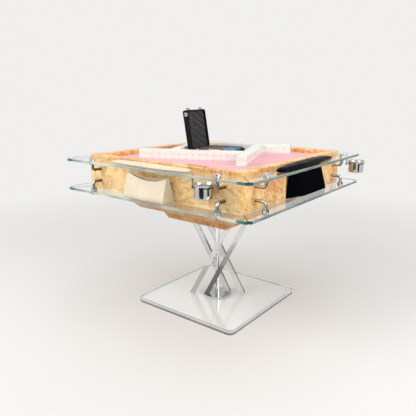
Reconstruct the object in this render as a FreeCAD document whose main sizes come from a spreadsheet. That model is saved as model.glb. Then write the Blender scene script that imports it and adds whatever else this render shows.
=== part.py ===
import FreeCAD, Part
import Sketcher
import math
import os
import re

# Automatic mahjong table, in millimetres. The origin is on the floor under the table's centre,
# +Z is up, the long front side faces -Y and the right-hand side faces +X.

V = FreeCAD.Vector
UP = V(0, 0, 1)

SIZES = (
    # Clear foot plate, mirror disc, pole and slanted bars
    ("base_half", 303),
    ("base_thick", 25),
    ("base_corner", 30),
    ("base_arris", 1.5),
    ("disc_radius", 70),
    ("disc_height", 6),
    ("disc_bevel", 1),
    ("pole_radius", 14),
    ("leg_height", 427),
    ("bar_side", 24),
    ("bar_arris", 1.2),
    ("bar_turn", 21.5),
    ("bar_offset", 35),
    ("outer_bar_top", 161),
    ("outer_bar_foot", 51),
    ("inner_bar_top", 86),
    ("inner_bar_foot", 130),
    # Half the cabinet's side, which the hull, rim, glass, holders and lifts follow
    ("case_half", 450),
    # Stepped wooden hull under the cabinet
    ("upper_hull_height", 100),
    ("hull_inset", 70),
    ("upper_hull_top_half", "=case_half - hull_inset"),
    ("upper_hull_spread", 100),
    ("upper_hull_bottom_half", "=upper_hull_top_half - upper_hull_spread"),
    ("lower_hull_height", 61),
    ("hull_step_inset", 68),
    ("lower_hull_top_half", "=upper_hull_bottom_half - hull_step_inset"),
    ("lower_hull_spread", 31),
    ("lower_hull_bottom_half", "=lower_hull_top_half - lower_hull_spread"),
    ("hull_wall", 15),
    ("hull_floor", 12),
    # Square cabinet, its rim and its playing surface
    ("case_corner", 20),
    ("panel_thick", 18),
    ("panel_height", 147.7),
    ("floor_thick", 18),
    ("floor_ledge", 110),
    ("floor_hole_half", "=case_half - floor_ledge"),
    ("rim_height", 24.3),
    ("rim_width", 47),
    ("rim_inner_half", "=case_half - rim_width"),
    ("rim_inner_corner", 26),
    ("rim_round", 5),
    ("rim_lip", 22.5),
    ("cloth_thick", 1.8),
    ("deck_thick", 16),
    ("cleat_side", 20),
    # Two tiers of glass panes
    ("glass_width", 80),
    ("glass_thick", 12),
    ("glass_clip", 20),
    ("glass_arris", 0.8),
    ("mitre_gap", 0.8),
    ("upper_glass_drop", 30.3),
    ("lower_glass_rise", 1.7),
    # Bent rods that carry the glass, and their caps
    ("hook_from_corner", 85),
    ("hook_along", "=case_half - hook_from_corner"),
    ("hook_reach", 47),
    ("hook_bend", 15),
    ("hook_radius", 7),
    ("upper_hook_drop", 10),
    ("lower_hook_drop", 15.6),
    ("flange_radius", 14),
    ("flange_height", 8.7),
    ("stud_radius", 5),
    ("neck_radius", 10.5),
    ("neck_rise", 5.3),
    ("cap_radius", 14.5),
    ("cap_height", 4),
    # Swivelling cup holders and their cups
    ("cup_radius", 37.5),
    ("cup_flare_radius", 43),
    ("cup_flare_height", 11),
    ("cup_height", 60),
    ("cup_wall", 1.2),
    ("cup_foot_round", 6),
    ("cup_below_glass", 20.7),
    ("ring_thick", 2.4),
    ("ring_height", 5.5),
    ("cup_to_post", 48),
    ("post_radius", 2.5),
    ("knob_radius", 6),
    ("knob_height", 8.7),
    ("collar_radius", 5),
    ("post_nut_height", 5),
    ("cup_from_corner", 197),
    ("cup_along", "=case_half - cup_from_corner"),
    ("cup_out", 58),
    ("cup_swing", 10.5),
    ("corner_cup_inset", -10),
    ("corner_cup_along", "=case_half - corner_cup_inset"),
    ("corner_cup_out", 37),
    ("corner_cup_swing", -58.1),
    # Hand pads on the upper glass
    ("flat_pad_from_corner", 219),
    ("flat_pad_half_length", "=case_half - flat_pad_from_corner"),
    ("flat_pad_half_width", 38),
    ("flat_pad_height", 12),
    ("flat_pad_along", 0.5),
    ("flat_pad_out", 39.5),
    ("flat_pad_turn", -1.5),
    ("puffy_pad_from_corner", 178),
    ("puffy_pad_half_length", "=case_half - puffy_pad_from_corner"),
    ("puffy_pad_half_width", 36),
    ("puffy_pad_height", 17),
    ("puffy_pad_along", -4),
    ("puffy_pad_out", 41),
    ("puffy_pad_turn", 3.2),
    # Open pouches on the lower glass
    ("pouch_skin", 2.5),
    ("wide_pouch_half_length", 118),
    ("wide_pouch_depth", 68),
    ("wide_pouch_height", 104),
    ("wide_pouch_gusset", 0),
    ("wide_pouch_sag", 24),
    ("wide_pouch_along", -16),
    ("slim_pouch_half_length", 165),
    ("slim_pouch_depth", 36),
    ("slim_pouch_height", 115),
    ("slim_pouch_gusset", 72),
    ("slim_pouch_sag", 8),
    ("slim_pouch_along", 46),
    ("pouch_mouth", 13),
    # Walls of tiles, laid in a turned pinwheel
    ("tile_length", 44.5),
    ("tile_width", 33.7),
    ("tile_thick", 22.5),
    ("tile_pitch", 34),
    ("stack_gap", 0.2),
    ("wheel_x", -27.4),
    ("wheel_y", 37.8),
    ("wheel_turn", 23.4),
    ("wheel_reach", 204.2),
    # Chip case that stands open inside the walls
    ("tray_half_u", 98.5),
    ("tray_half_v", 105.5),
    ("tray_height", 30.7),
    ("tray_wall", 4),
    ("lid_thick", 28.3),
    ("lid_recess", 13),
    ("lid_open", 98.8),
    ("tray_x", -21),
    ("tray_y", 43),
    ("tray_turn", 14),
    ("hinge_offset", 3),
    ("knuckle_radius", 2.9),
    ("knuckle_length", 20),
    ("knuckle_spacing", 24),
    ("hinge_pin_radius", 1.5),
    ("hinge_pin_end", 2),
    ("clasp_width", 40),
    ("clasp_height", 12),
    ("clasp_thick", 9),
    ("clasp_place", 72),
    ("chip_row_gap", 2),
    ("chip_radius", "=(tray_half_v - tray_wall) / 5 - chip_row_gap"),
    ("chip_row_end", 3),
    ("chip_stack_gap", 0.6),
    # Machine inside: lifts, centre console, shuffling disc and its drive
    ("lift_from_corner", 133),
    ("lift_half_length", "=rim_inner_half - lift_from_corner"),
    ("lift_half_width", 24),
    ("lift_inset", 73),
    ("lift_out", "=rim_inner_half - lift_inset"),
    ("console_radius", 90),
    ("console_stem_radius", 20),
    ("shuffle_radius", 250),
    ("shuffle_thick", 10),
    ("shuffle_above_floor", 125),
    ("hub_radius", 60),
    ("hub_height", 20),
    ("hub_drop", 18),
    ("spindle_radius", 15),
    ("drive_radius", 20),
    ("drive_shaft_radius", 4),
    ("drive_shaft_length", 24),
    ("motor_radius", 38),
    ("motor_gap", 6),
    # Clearances
    ("seat_gap", 0.3),
    ("running_gap", 0.05),
    ("overrun", 5),
)

doc = FreeCAD.newDocument("MahjongTable")
sheet = doc.addObject("Spreadsheet::Sheet", "Sizes")
for row, (alias, number) in enumerate(SIZES, 1):
    sheet.set("A%d" % row, alias)
    sheet.set("B%d" % row, str(number))
    sheet.setAlias("B%d" % row, alias)
doc.recompute()

# Levels above the floor and shared places, as formulas of the sizes
SIZE_NAMES = {alias for alias, number in SIZES}
LEG_TOP = "(base_thick + leg_height)"
HULL_STEP = "(%s + lower_hull_height)" % LEG_TOP
CABINET_BOTTOM = "(%s + upper_hull_height)" % HULL_STEP
RIM_BOTTOM = "(%s + panel_height)" % CABINET_BOTTOM
RIM_TOP = "(%s + rim_height)" % RIM_BOTTOM
CLOTH_TOP = "(%s - rim_lip)" % RIM_TOP
DECK_TOP = "(%s - cloth_thick - seat_gap)" % CLOTH_TOP
DECK_BOTTOM = "(%s - deck_thick)" % DECK_TOP
HULL_FLOOR_TOP = "(%s + hull_floor)" % HULL_STEP
UPPER_GLASS = "(%s - upper_glass_drop)" % RIM_TOP
LOWER_GLASS = "(%s + lower_glass_rise)" % CABINET_BOTTOM
SHUFFLE_BOTTOM = "(%s + shuffle_above_floor)" % HULL_FLOOR_TOP
SHUFFLE_TOP = "(%s + shuffle_thick)" % SHUFFLE_BOTTOM
HUB_BOTTOM = "(%s - hub_drop - hub_height)" % SHUFFLE_BOTTOM
PANEL_INSIDE = "(case_half - panel_thick)"
HOOK_OUT = "(case_half + hook_reach)"
DIAGONAL = "(1 - sqrt(0.5))"
SIDES = (("front", 0), ("right", 90), ("back", 180), ("left", 270))
nodes = []


def full(text):
    """Give each size name in a formula its sheet's name."""
    def qualify(word):
        name = word.group()
        return "Sizes." + name if name in SIZE_NAMES else name
    return re.sub(r"[a-z][a-z_]*", qualify, text)


def value(text):
    """Work out a formula of the sizes."""
    return float(sheet.evalExpression(full(text)))


def bind(thing, **formulas):
    """Tie properties of an object to formulas of the sizes."""
    for name, text in formulas.items():
        thing.setExpression(name, full(text))
    return thing


def put(thing, x="0", y="0", z="0", turn="0", axis=UP):
    """Place an object, with its place and its turn tied to the sizes."""
    thing.Placement = FreeCAD.Placement(V(), FreeCAD.Rotation(axis, value(turn)))
    for name, text in (("x", x), ("y", y), ("z", z)):
        thing.setExpression("Placement.Base." + name, full(text))
    if turn != "0":
        thing.setExpression("Placement.Rotation.Angle", full(turn))
    return thing


def node(label, thing):
    """Name an object as one sub-part of the table."""
    thing.Label = label
    nodes.append(thing)
    return thing


def on_side(side, along, out):
    """Give the X and Y of a place on a side, from its place along the side and out from the centre."""
    places = {
        "front": (along, "-(%s)" % out),
        "right": (out, along),
        "back": ("-(%s)" % along, out),
        "left": ("-(%s)" % out, "-(%s)" % along),
    }
    return places[side]


def add_outline(sketch, points, arcs=None):
    """Draw a closed outline; arcs gives the radius and centre of a rounded stretch by its first point."""
    arcs = arcs or {}
    first = sketch.GeometryCount
    spots = [V(value(x), value(y), 0) for x, y in points]
    starts, ends = [], []
    for i, start in enumerate(spots):
        end = spots[(i + 1) % len(spots)]
        if i not in arcs:
            sketch.addGeometry(Part.LineSegment(start, end), False)
            starts.append(1)
            ends.append(2)
            continue
        radius, centre_x, centre_y = arcs[i]
        centre = V(value(centre_x), value(centre_y), 0)
        from_start = math.atan2(start.y - centre.y, start.x - centre.x)
        from_end = math.atan2(end.y - centre.y, end.x - centre.x)
        leftward = (start - centre).cross(end - centre).z > 0
        turn = (from_start, from_end) if leftward else (from_end, from_start)
        circle = Part.Circle(centre, UP, value(radius))
        sketch.addGeometry(Part.ArcOfCircle(circle, *turn), False)
        starts.append(1 if leftward else 2)
        ends.append(2 if leftward else 1)
    for i in range(len(spots)):
        after = (i + 1) % len(spots)
        joined = Sketcher.Constraint("Coincident", first + i, ends[i], first + after, starts[after])
        sketch.addConstraint(joined)
    for i, (x, y) in enumerate(points):
        for way, text in (("DistanceX", x), ("DistanceY", y)):
            place = Sketcher.Constraint(way, -1, 1, first + i, starts[i], value(text))
            number = sketch.addConstraint(place)
            if text != "0":
                sketch.setExpression("Constraints[%d]" % number, full(text))
        if i in arcs:
            number = sketch.addConstraint(Sketcher.Constraint("Radius", first + i, value(arcs[i][0])))
            sketch.setExpression("Constraints[%d]" % number, full(arcs[i][0]))


def add_circle(sketch, radius, x="0", y="0"):
    """Draw a circle, with its centre and radius tied to the sizes."""
    circle = sketch.addGeometry(Part.Circle(V(value(x), value(y), 0), UP, value(radius)), False)
    for way, text in (("DistanceX", x), ("DistanceY", y)):
        number = sketch.addConstraint(Sketcher.Constraint(way, -1, 1, circle, 3, value(text)))
        if text != "0":
            sketch.setExpression("Constraints[%d]" % number, full(text))
    number = sketch.addConstraint(Sketcher.Constraint("Radius", circle, value(radius)))
    sketch.setExpression("Constraints[%d]" % number, full(radius))


def new_sketch(body, role):
    """Start a sketch on one of a body's own planes."""
    sketch = body.newObject("Sketcher::SketchObject", body.Name + "_sketch")
    plane = [item for item in body.Origin.OriginFeatures if item.Role == role][0]
    sketch.AttachmentSupport = (plane, [""])
    sketch.MapMode = "FlatFace"
    return sketch


def plate(name, points, thick, arcs=None, holes=(), cutouts=()):
    """Pad an outline upward; holes are circles and cutouts are outlines."""
    body = doc.addObject("PartDesign::Body", name)
    sketch = new_sketch(body, "XY_Plane")
    add_outline(sketch, points, arcs)
    for radius, x, y in holes:
        add_circle(sketch, radius, x, y)
    for cutout in cutouts:
        add_outline(sketch, cutout)
    pad = body.newObject("PartDesign::Pad", name + "_pad")
    pad.Profile = sketch
    bind(pad, Length=thick)
    doc.recompute()
    return body


def turned_body(name, points, arcs=None):
    """Spin an outline of radius and height once round the Z axis."""
    body = doc.addObject("PartDesign::Body", name)
    sketch = new_sketch(body, "XZ_Plane")
    add_outline(sketch, points, arcs)
    spin = body.newObject("PartDesign::Revolution", name + "_spin")
    spin.Profile = sketch
    spin.ReferenceAxis = (sketch, ["V_Axis"])
    spin.Angle = 360
    doc.recompute()
    return body


def round_edges(body, radius, wanted):
    """Fillet the edges of a body's last feature that a test picks."""
    last = body.Tip
    names = ["Edge%d" % i for i, edge in enumerate(last.Shape.Edges, 1) if wanted(edge)]
    fillet = body.newObject("PartDesign::Fillet", body.Name + "_round")
    fillet.Base = (last, names)
    bind(fillet, Radius=radius)
    doc.recompute()


def is_level(edge):
    """True for an edge that lies flat, apart from the edge of a bolt hole."""
    bolt_hole = edge.isClosed() and edge.Length < value("8 * neck_radius")
    return edge.BoundBox.ZLength < value("running_gap") and not bolt_hole


def block(name, x, y, z, length, width, height):
    """Make a box from its low corner and its three sizes."""
    box = bind(doc.addObject("Part::Box", name), Length=length, Width=width, Height=height)
    return put(box, x, y, z)


def rod(name, radius, length, x="0", y="0", z="0", axis=UP, turn="0"):
    """Make a cylinder that starts at a place; a turn lays it over."""
    cylinder = bind(doc.addObject("Part::Cylinder", name), Radius=radius, Height=length)
    return put(cylinder, x, y, z, turn, axis)


def joined(name, *pieces):
    """Fuse objects into one solid."""
    fuse = doc.addObject("Part::MultiFuse", name)
    fuse.Shapes = list(pieces)
    return fuse


def cut(name, base, *tools):
    """Take tools away from a base, one after another."""
    for i, tool in enumerate(tools):
        step = doc.addObject("Part::Cut", "%s_%d" % (name, i))
        step.Base = base
        step.Tool = tool
        base = step
    return base


def group(name, *pieces):
    """Hold separate pieces together as one object."""
    compound = doc.addObject("Part::Compound", name)
    compound.Links = list(pieces)
    return compound


def on_four_sides(label, *pieces):
    """Repeat the front side's pieces on all four sides, as one sub-part of separate solids."""
    sides = [put(group("%s_%s" % (label, side), *pieces), turn=str(turn)) for side, turn in SIDES]
    return node(label, group(label, *sides))


def rounded_square(half, radius):
    """Give the points and arcs of a square with rounded corners, running anticlockwise."""
    flat = "(%s - %s)" % (half, radius)
    points = [(flat, "-" + half), (half, "-" + flat), (half, flat), (flat, half)]
    points += [("-" + flat, half), ("-" + half, flat), ("-" + half, "-" + flat), ("-" + flat, "-" + half)]
    centres = ((flat, "-" + flat), (flat, flat), ("-" + flat, flat), ("-" + flat, "-" + flat))
    return points, {2 * i: (radius, x, y) for i, (x, y) in enumerate(centres)}


def rectangle(side, half_length, out_from, out_to):
    """Give the corners of a slot that lies along one side of the table."""
    corners = ((half_length, out_to), (half_length, out_from),
               ("-" + half_length, out_from), ("-" + half_length, out_to))
    return [on_side(side, along, out) for along, out in corners]


def make_foot():
    """Clear foot plate, mirror disc let into its top, and chrome pole."""
    points, arcs = rounded_square("base_half", "base_corner")
    base = plate("base_plate", points, "base_thick", arcs)
    round_edges(base, "base_arris", is_level)
    sketch = new_sketch(base, "XY_Plane")
    sketch.setExpression("AttachmentOffset.Base.z", full("base_thick"))
    add_circle(sketch, "disc_radius + seat_gap")
    recess = base.newObject("PartDesign::Pocket", "disc_recess")
    recess.Profile = sketch
    bind(recess, Length="disc_height")
    node("base_plate", base)
    disc = [("0", "base_thick - disc_height"), ("disc_radius", "base_thick - disc_height"),
            ("disc_radius", "base_thick - disc_bevel"), ("disc_radius - disc_bevel", "base_thick"),
            ("0", "base_thick")]
    node("base_disc", turned_body("base_disc", disc))
    pole = [("0", "base_thick"), ("pole_radius", "base_thick"), ("pole_radius", LEG_TOP), ("0", LEG_TOP)]
    node("centre_pole", turned_body("centre_pole", pole))


def make_bar(number, top, foot, turn, offset):
    """One slanted clear bar, with both ends cut level."""
    body = doc.addObject("PartDesign::Body", "acrylic_bar_%d" % number)
    sketch = new_sketch(body, "XZ_Plane")
    lean = "((%s) + (%s))" % (top, foot)
    half = "(bar_side / 2 * sqrt(1 + (%s / leg_height)^2))" % lean
    add_outline(sketch, [("-%s - %s" % (foot, half), "base_thick"), ("-%s + %s" % (foot, half), "base_thick"),
                         ("%s + %s" % (top, half), LEG_TOP), ("%s - %s" % (top, half), LEG_TOP)])
    pad = body.newObject("PartDesign::Pad", body.Name + "_pad")
    pad.Profile = sketch
    pad.Midplane = True
    bind(pad, Length="bar_side")
    doc.recompute()
    round_edges(body, "bar_arris", lambda edge: edge.Length > value("leg_height"))
    put(body, "%s * sin(bar_turn)" % offset, "-%s * cos(bar_turn)" % offset, turn=turn)
    node("acrylic_bar_%d" % number, body)


def make_bars():
    """Two pairs of parallel bars that cross beside the pole."""
    make_bar(1, "outer_bar_top", "outer_bar_foot", "bar_turn + 180", "(-bar_offset)")
    make_bar(2, "outer_bar_top", "outer_bar_foot", "bar_turn", "bar_offset")
    make_bar(3, "inner_bar_top", "inner_bar_foot", "bar_turn", "bar_offset")
    make_bar(4, "inner_bar_top", "inner_bar_foot", "bar_turn + 180", "(-bar_offset)")


def pyramid(name, bottom_half, top_half, level, height):
    """Part of an upturned pyramid with its small end down."""
    wedge = doc.addObject("Part::Wedge", name)
    bind(wedge, Ymin="0 * base_half", Ymax=height)
    bind(wedge, Xmin="-" + bottom_half, Xmax=bottom_half, Zmin="-" + bottom_half, Zmax=bottom_half)
    bind(wedge, X2min="-" + top_half, X2max=top_half, Z2min="-" + top_half, Z2max=top_half)
    return put(wedge, z=level, turn="90", axis=V(1, 0, 0))


def make_hull(label, bottom_half, top_half, level, height):
    """One open tray of the wooden hull, with sloping walls and a floor."""
    slope = "((%s - %s) / %s)" % (top_half, bottom_half, height)
    inset = "(hull_wall * sqrt(1 + %s^2))" % slope
    low = "(%s + %s * hull_floor - %s)" % (bottom_half, slope, inset)
    high = "(%s + %s * overrun - %s)" % (top_half, slope, inset)
    outside = pyramid(label + "_outside", bottom_half, top_half, level, height)
    inside = pyramid(label + "_inside", low, high, "%s + hull_floor" % level,
                     "(%s - hull_floor + overrun)" % height)
    node(label, cut(label + "_shell", outside, inside))


def make_cabinet():
    """Floor board, four mitred panels, four mitred rim rails and the cleats under the deck."""
    points = [("-" + PANEL_INSIDE, "-" + PANEL_INSIDE), (PANEL_INSIDE, "-" + PANEL_INSIDE),
              (PANEL_INSIDE, PANEL_INSIDE), ("-" + PANEL_INSIDE, PANEL_INSIDE)]
    hole = [("-floor_hole_half", "-floor_hole_half"), ("floor_hole_half", "-floor_hole_half"),
            ("floor_hole_half", "floor_hole_half"), ("-floor_hole_half", "floor_hole_half")]
    floor = plate("cabinet_floor", points, "floor_thick", cutouts=[hole])
    node("cabinet_floor", put(floor, z=CABINET_BOTTOM))
    flat = "(case_half - case_corner)"
    tip = "(case_half - case_corner * %s)" % DIAGONAL
    outer_arcs = {1: ("case_corner", flat, "-" + flat)}
    for side, turn in SIDES:
        points = [("-" + flat, "-case_half"), (flat, "-case_half"), (tip, "-" + tip),
                  (PANEL_INSIDE, "-" + PANEL_INSIDE), ("-" + PANEL_INSIDE, "-" + PANEL_INSIDE),
                  ("-" + tip, "-" + tip)]
        arcs = dict(outer_arcs)
        arcs[5] = ("case_corner", "-" + flat, "-" + flat)
        panel = plate("cabinet_panel_" + side, points, "panel_height", arcs)
        node("cabinet_panel_" + side, put(panel, z=CABINET_BOTTOM, turn=str(turn)))
    inner_flat = "(rim_inner_half - rim_inner_corner)"
    inner_tip = "(rim_inner_half - rim_inner_corner * %s)" % DIAGONAL
    points = [("-" + flat, "-case_half"), (flat, "-case_half"), (tip, "-" + tip),
              (inner_tip, "-" + inner_tip), (inner_flat, "-rim_inner_half"),
              ("-" + inner_flat, "-rim_inner_half"), ("-" + inner_tip, "-" + inner_tip),
              ("-" + tip, "-" + tip)]
    arcs = dict(outer_arcs)
    arcs[3] = ("rim_inner_corner", inner_flat, "-" + inner_flat)
    arcs[5] = ("rim_inner_corner", "-" + inner_flat, "-" + inner_flat)
    arcs[7] = ("case_corner", "-" + flat, "-" + flat)
    rail = plate("rim_rail", points, "rim_height", arcs)
    high = value("rim_height")
    mitre = value("(%s + %s) / 2" % (tip, inner_tip))

    def along_top(edge):
        middle = edge.CenterOfMass
        on_mitre = abs(abs(middle.x) - mitre) < value("seat_gap") and abs(middle.y + mitre) < value("seat_gap")
        return abs(edge.BoundBox.ZMin - high) < value("running_gap") and not on_mitre

    round_edges(rail, "rim_round", along_top)
    on_four_sides("table_rim", put(rail, z=RIM_BOTTOM))
    cleat = block("cleat", "-(%s - cleat_side)" % PANEL_INSIDE, "-" + PANEL_INSIDE,
                  "%s - cleat_side" % DECK_BOTTOM, "2 * (%s - cleat_side)" % PANEL_INSIDE,
                  "cleat_side", "cleat_side")
    on_four_sides("deck_cleats", cleat)


def make_playing_surface():
    """Deck and cloth, both cut for the four tile lifts and the centre console."""
    slots = [rectangle(side, "(lift_half_length + seat_gap)", "(lift_out - lift_half_width - seat_gap)",
                       "(lift_out + lift_half_width + seat_gap)") for side, turn in SIDES]
    holes = [("(console_radius + seat_gap)", "0", "0")]
    half = "(%s - seat_gap)" % PANEL_INSIDE
    square = [("-" + half, "-" + half), (half, "-" + half), (half, half), ("-" + half, half)]
    deck = plate("play_deck", square, "deck_thick", holes=holes, cutouts=slots)
    node("play_deck", put(deck, z=DECK_BOTTOM))
    points, arcs = rounded_square("(rim_inner_half - seat_gap)", "rim_inner_corner")
    cloth = plate("play_cloth", points, "cloth_thick", arcs, holes, slots)
    node("play_cloth", put(cloth, z="%s - cloth_thick" % CLOTH_TOP))


def make_glass(tier, level):
    """Four mitred panes round the cabinet, each with two holes for its rods."""
    inner = "(case_half + seat_gap)"
    outer = "(case_half + glass_width)"
    corner = "(%s - glass_clip / 2)" % outer
    points = [("-(%s - mitre_gap)" % inner, "-" + inner), ("-(%s - mitre_gap)" % corner, "-" + corner),
              ("-(%s - glass_clip)" % outer, "-" + outer), ("(%s - glass_clip)" % outer, "-" + outer),
              ("(%s - mitre_gap)" % corner, "-" + corner), ("(%s - mitre_gap)" % inner, "-" + inner)]
    hole = "(neck_radius + seat_gap)"
    holes = [(hole, "hook_along", "-" + HOOK_OUT), (hole, "-hook_along", "-" + HOOK_OUT)]
    for side, turn in SIDES:
        label = "%s_glass_%s" % (tier, side)
        pane = plate(label, points, "glass_thick", holes=holes)
        round_edges(pane, "glass_arris", is_level)
        node(label, put(pane, z=level, turn=str(turn)))


def make_hook(name, along, straight):
    """One bent rod that turns up to its flange and ends in a stud through the glass."""
    arm = rod(name + "_arm", "hook_radius", "hook_reach - hook_bend", along, "-case_half", "0",
              V(1, 0, 0), "90")
    bend = doc.addObject("Part::Torus", name + "_bend")
    bind(bend, Radius1="hook_bend", Radius2="hook_radius")
    bend.Angle3 = 90
    bend.Placement.Rotation = FreeCAD.Rotation(V(0, -1, 0), V(0, 0, -1), V(1, 0, 0), "XYZ")
    for way, text in (("x", along), ("y", "-(%s - hook_bend)" % HOOK_OUT), ("z", "hook_bend")):
        bend.setExpression("Placement.Base." + way, full(text))
    riser = rod(name + "_riser", "hook_radius", straight + " + flange_height", along, "-" + HOOK_OUT,
                "hook_bend")
    flange = rod(name + "_flange", "flange_radius", "flange_height", along, "-" + HOOK_OUT,
                 "hook_bend + " + straight)
    stud = rod(name + "_stud", "stud_radius", "glass_thick + neck_rise", along, "-" + HOOK_OUT,
               "hook_bend + flange_height + " + straight)
    return joined(name, arm, bend, riser, flange, stud)


def make_cap(name, along):
    """One cap with a neck that lines the glass hole and a bore for the stud."""
    neck = rod(name + "_neck", "neck_radius", "glass_thick + neck_rise", along, "-" + HOOK_OUT)
    head = rod(name + "_head", "cap_radius", "cap_height", along, "-" + HOOK_OUT,
               "glass_thick + neck_rise")
    bore = rod(name + "_bore", "stud_radius + running_gap", "glass_thick + neck_rise + overrun + seat_gap",
               along, "-" + HOOK_OUT, "-overrun")
    return cut(name, joined(name + "_body", neck, head), bore)


def make_glass_carriers():
    """Rods and caps: the upper rods turn up, and the lower ones are the same rods turned down."""
    ends = (("right", "hook_along"), ("left", "-hook_along"))
    upper = [make_hook("upper_hook_" + end, along, "upper_hook_drop") for end, along in ends]
    level = "(%s - flange_height - upper_hook_drop - hook_bend)" % UPPER_GLASS
    on_four_sides("upper_hooks", put(group("upper_pair", *upper), z=level))
    lower = [make_hook("lower_hook_" + end, along, "lower_hook_drop") for end, along in ends]
    level = "(%s + glass_thick + flange_height + lower_hook_drop + hook_bend)" % LOWER_GLASS
    flipped = put(group("lower_pair", *lower), z=level, turn="180", axis=V(0, 1, 0))
    on_four_sides("lower_hooks", flipped)
    caps = [make_cap("cap_" + end, along) for end, along in ends]
    upper_caps = put(group("upper_caps", *caps), z=UPPER_GLASS)
    lower_caps = put(group("lower_caps", *caps), z="%s + glass_thick" % LOWER_GLASS, turn="180",
                     axis=V(0, 1, 0))
    on_four_sides("glass_caps", upper_caps, lower_caps)


def make_cup_holders():
    """Posts under the glass, rings that swivel on them, and a flared cup in each ring."""
    cup_top = "(%s - cup_below_glass)" % UPPER_GLASS
    flare = "(%s - cup_flare_height)" % cup_top
    foot = "(%s - cup_height)" % cup_top
    ring_bottom = "(%s - seat_gap - ring_height)" % flare
    nut_top = "(%s - seat_gap)" % ring_bottom
    slope = "((cup_flare_radius - cup_radius) / cup_flare_height)"
    posts = []
    for side, turn in SIDES:
        kind = "corner_cup" if side == "right" else "cup"
        x, y = on_side(side, kind + "_along", "(case_half + %s_out)" % kind)
        swing = "%s_swing + %d" % (kind, turn)
        knob_bottom = UPPER_GLASS + " - knob_height"
        nut = rod("post_nut_" + side, "collar_radius", "post_nut_height", z=nut_top + " - post_nut_height")
        stem = rod("post_stem_" + side, "post_radius", "%s - %s" % (knob_bottom, nut_top), z=nut_top)
        knob = rod("post_knob_" + side, "knob_radius", "knob_height", z=knob_bottom)
        posts.append(put(group("cup_post_" + side, nut, stem, knob), x, y))
        reach = "(cup_radius + seat_gap + ring_thick)"
        hoop = rod("hoop_" + side, reach, "ring_height", "cup_to_post", "0", ring_bottom)
        collar = rod("collar_" + side, "collar_radius", "ring_height", "0", "0", ring_bottom)
        bridge = block("bridge_" + side, "0", "-post_radius", ring_bottom, "cup_to_post - cup_radius",
                       "2 * post_radius", "ring_height")
        inside = rod("inside_" + side, "cup_radius + seat_gap", "ring_height + 2 * overrun",
                     "cup_to_post", "0", ring_bottom + " - overrun")
        bore = rod("collar_bore_" + side, "post_radius + running_gap", "ring_height + 2 * overrun",
                   "0", "0", ring_bottom + " - overrun")
        ring = cut("cup_ring_" + side, joined("ring_body_" + side, hoop, collar, bridge), inside, bore)
        node("cup_ring_" + side, put(ring, x, y, turn=swing))
        wall = [("0", foot), ("cup_radius - cup_foot_round", foot),
                ("cup_radius", foot + " + cup_foot_round"), ("cup_radius", flare),
                ("cup_flare_radius", cup_top), ("cup_flare_radius - cup_wall", cup_top),
                ("cup_radius - cup_wall", flare + " + cup_wall * %s" % slope),
                ("cup_radius - cup_wall", foot + " + cup_foot_round"),
                ("cup_radius - cup_foot_round", foot + " + cup_wall"), ("0", foot + " + cup_wall")]
        arcs = {1: ("cup_foot_round", "cup_radius - cup_foot_round", foot + " + cup_foot_round"),
                7: ("cup_foot_round - cup_wall", "cup_radius - cup_foot_round", foot + " + cup_foot_round")}
        cup = turned_body("cup_" + side, wall, arcs)
        away = "cup_to_post * cos(%s)" % swing
        aside = "cup_to_post * sin(%s)" % swing
        node("cup_" + side, put(cup, "%s + %s" % (x, away), "%s + %s" % (y, aside)))
    node("cup_posts", group("cup_posts", *posts))


def lens(half_length, half_width, level, tip_share):
    """Outline of a pad: two long bowed sides and two short rounded ends, as four arcs."""
    tip = tip_share * half_width
    end = half_length - tip / 2
    spots = ((-end, -tip), (0, -half_width), (end, -tip), (half_length, 0), (end, tip), (0, half_width),
             (-end, tip), (-half_length, 0), (-end, -tip))
    spots = [V(x, y, level) for x, y in spots]
    arcs = [Part.Arc(*spots[i:i + 3]).toShape() for i in (0, 2, 4, 6)]
    return Part.Wire(arcs)


# Each level of a pad: its height, and how far its edge draws in, as shares of the pad's height
FLAT_LEVEL_SHARES = ((0, 0.55), (0.35, 0.05), (0.65, 0), (0.9, 0.3), (1, 0.9))
PUFFY_LEVEL_SHARES = ((0, 0.32), (0.2, 0.06), (0.42, 0), (0.7, 0.22), (0.9, 0.62), (1, 1.15))
FLAT_TIP_SHARE = 0.62
PUFFY_TIP_SHARE = 0.58


def make_pad(label, kind, side, level_shares, tip_share, turn):
    """One stuffed pad with a crown and drawn-in edges, lying on the upper glass."""
    height = value(kind + "_height")
    length, width = value(kind + "_half_length"), value(kind + "_half_width")
    wires = [lens(length - draw * height, width - draw * height, rise * height, tip_share)
             for rise, draw in level_shares]
    pad = doc.addObject("Part::Feature", label)
    pad.Shape = Part.makeLoft(wires, True, False)
    x, y = on_side(side, kind + "_along", "(case_half + %s_out)" % kind)
    node(label, put(pad, x, y, UPPER_GLASS + " + glass_thick + seat_gap", turn))


def pouch_body(half_length, depth, mouth, height, gusset, inset):
    """A bag's form: a foot that narrows to a long mouth, drawn in by an inset all round."""
    wires = []
    foot, bulge, neck = 0, height * POUCH_BULGE_SHARE, height
    levels = ((foot, depth / 2, gusset), (bulge, depth / 2, gusset), (neck, mouth / 2, gusset / 2))
    for level, half_depth, slant in levels:
        reach, half = half_length - inset, half_depth - inset
        corner = min(half, POUCH_CORNER_SHARE * mouth)
        # The front panel stops short of the back one, so the end between them slants
        left = half_length - inset * math.hypot(slant, 2 * half_depth) / (2 * half_depth)
        spots = ((reach - corner, -half), (reach, -half + corner), (reach, half - corner),
                 (reach - corner, half), (-left + corner, half), (-left, half - corner),
                 (-left + slant, -half + corner), (-left + slant + corner, -half))
        spots = [V(x, y, level) for x, y in spots]
        wires.append(Part.makePolygon(spots + spots[:1]))
    return Part.makeLoft(wires, True, True)


POUCH_BULGE_SHARE = 0.2
POUCH_CORNER_SHARE = 0.25


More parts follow.
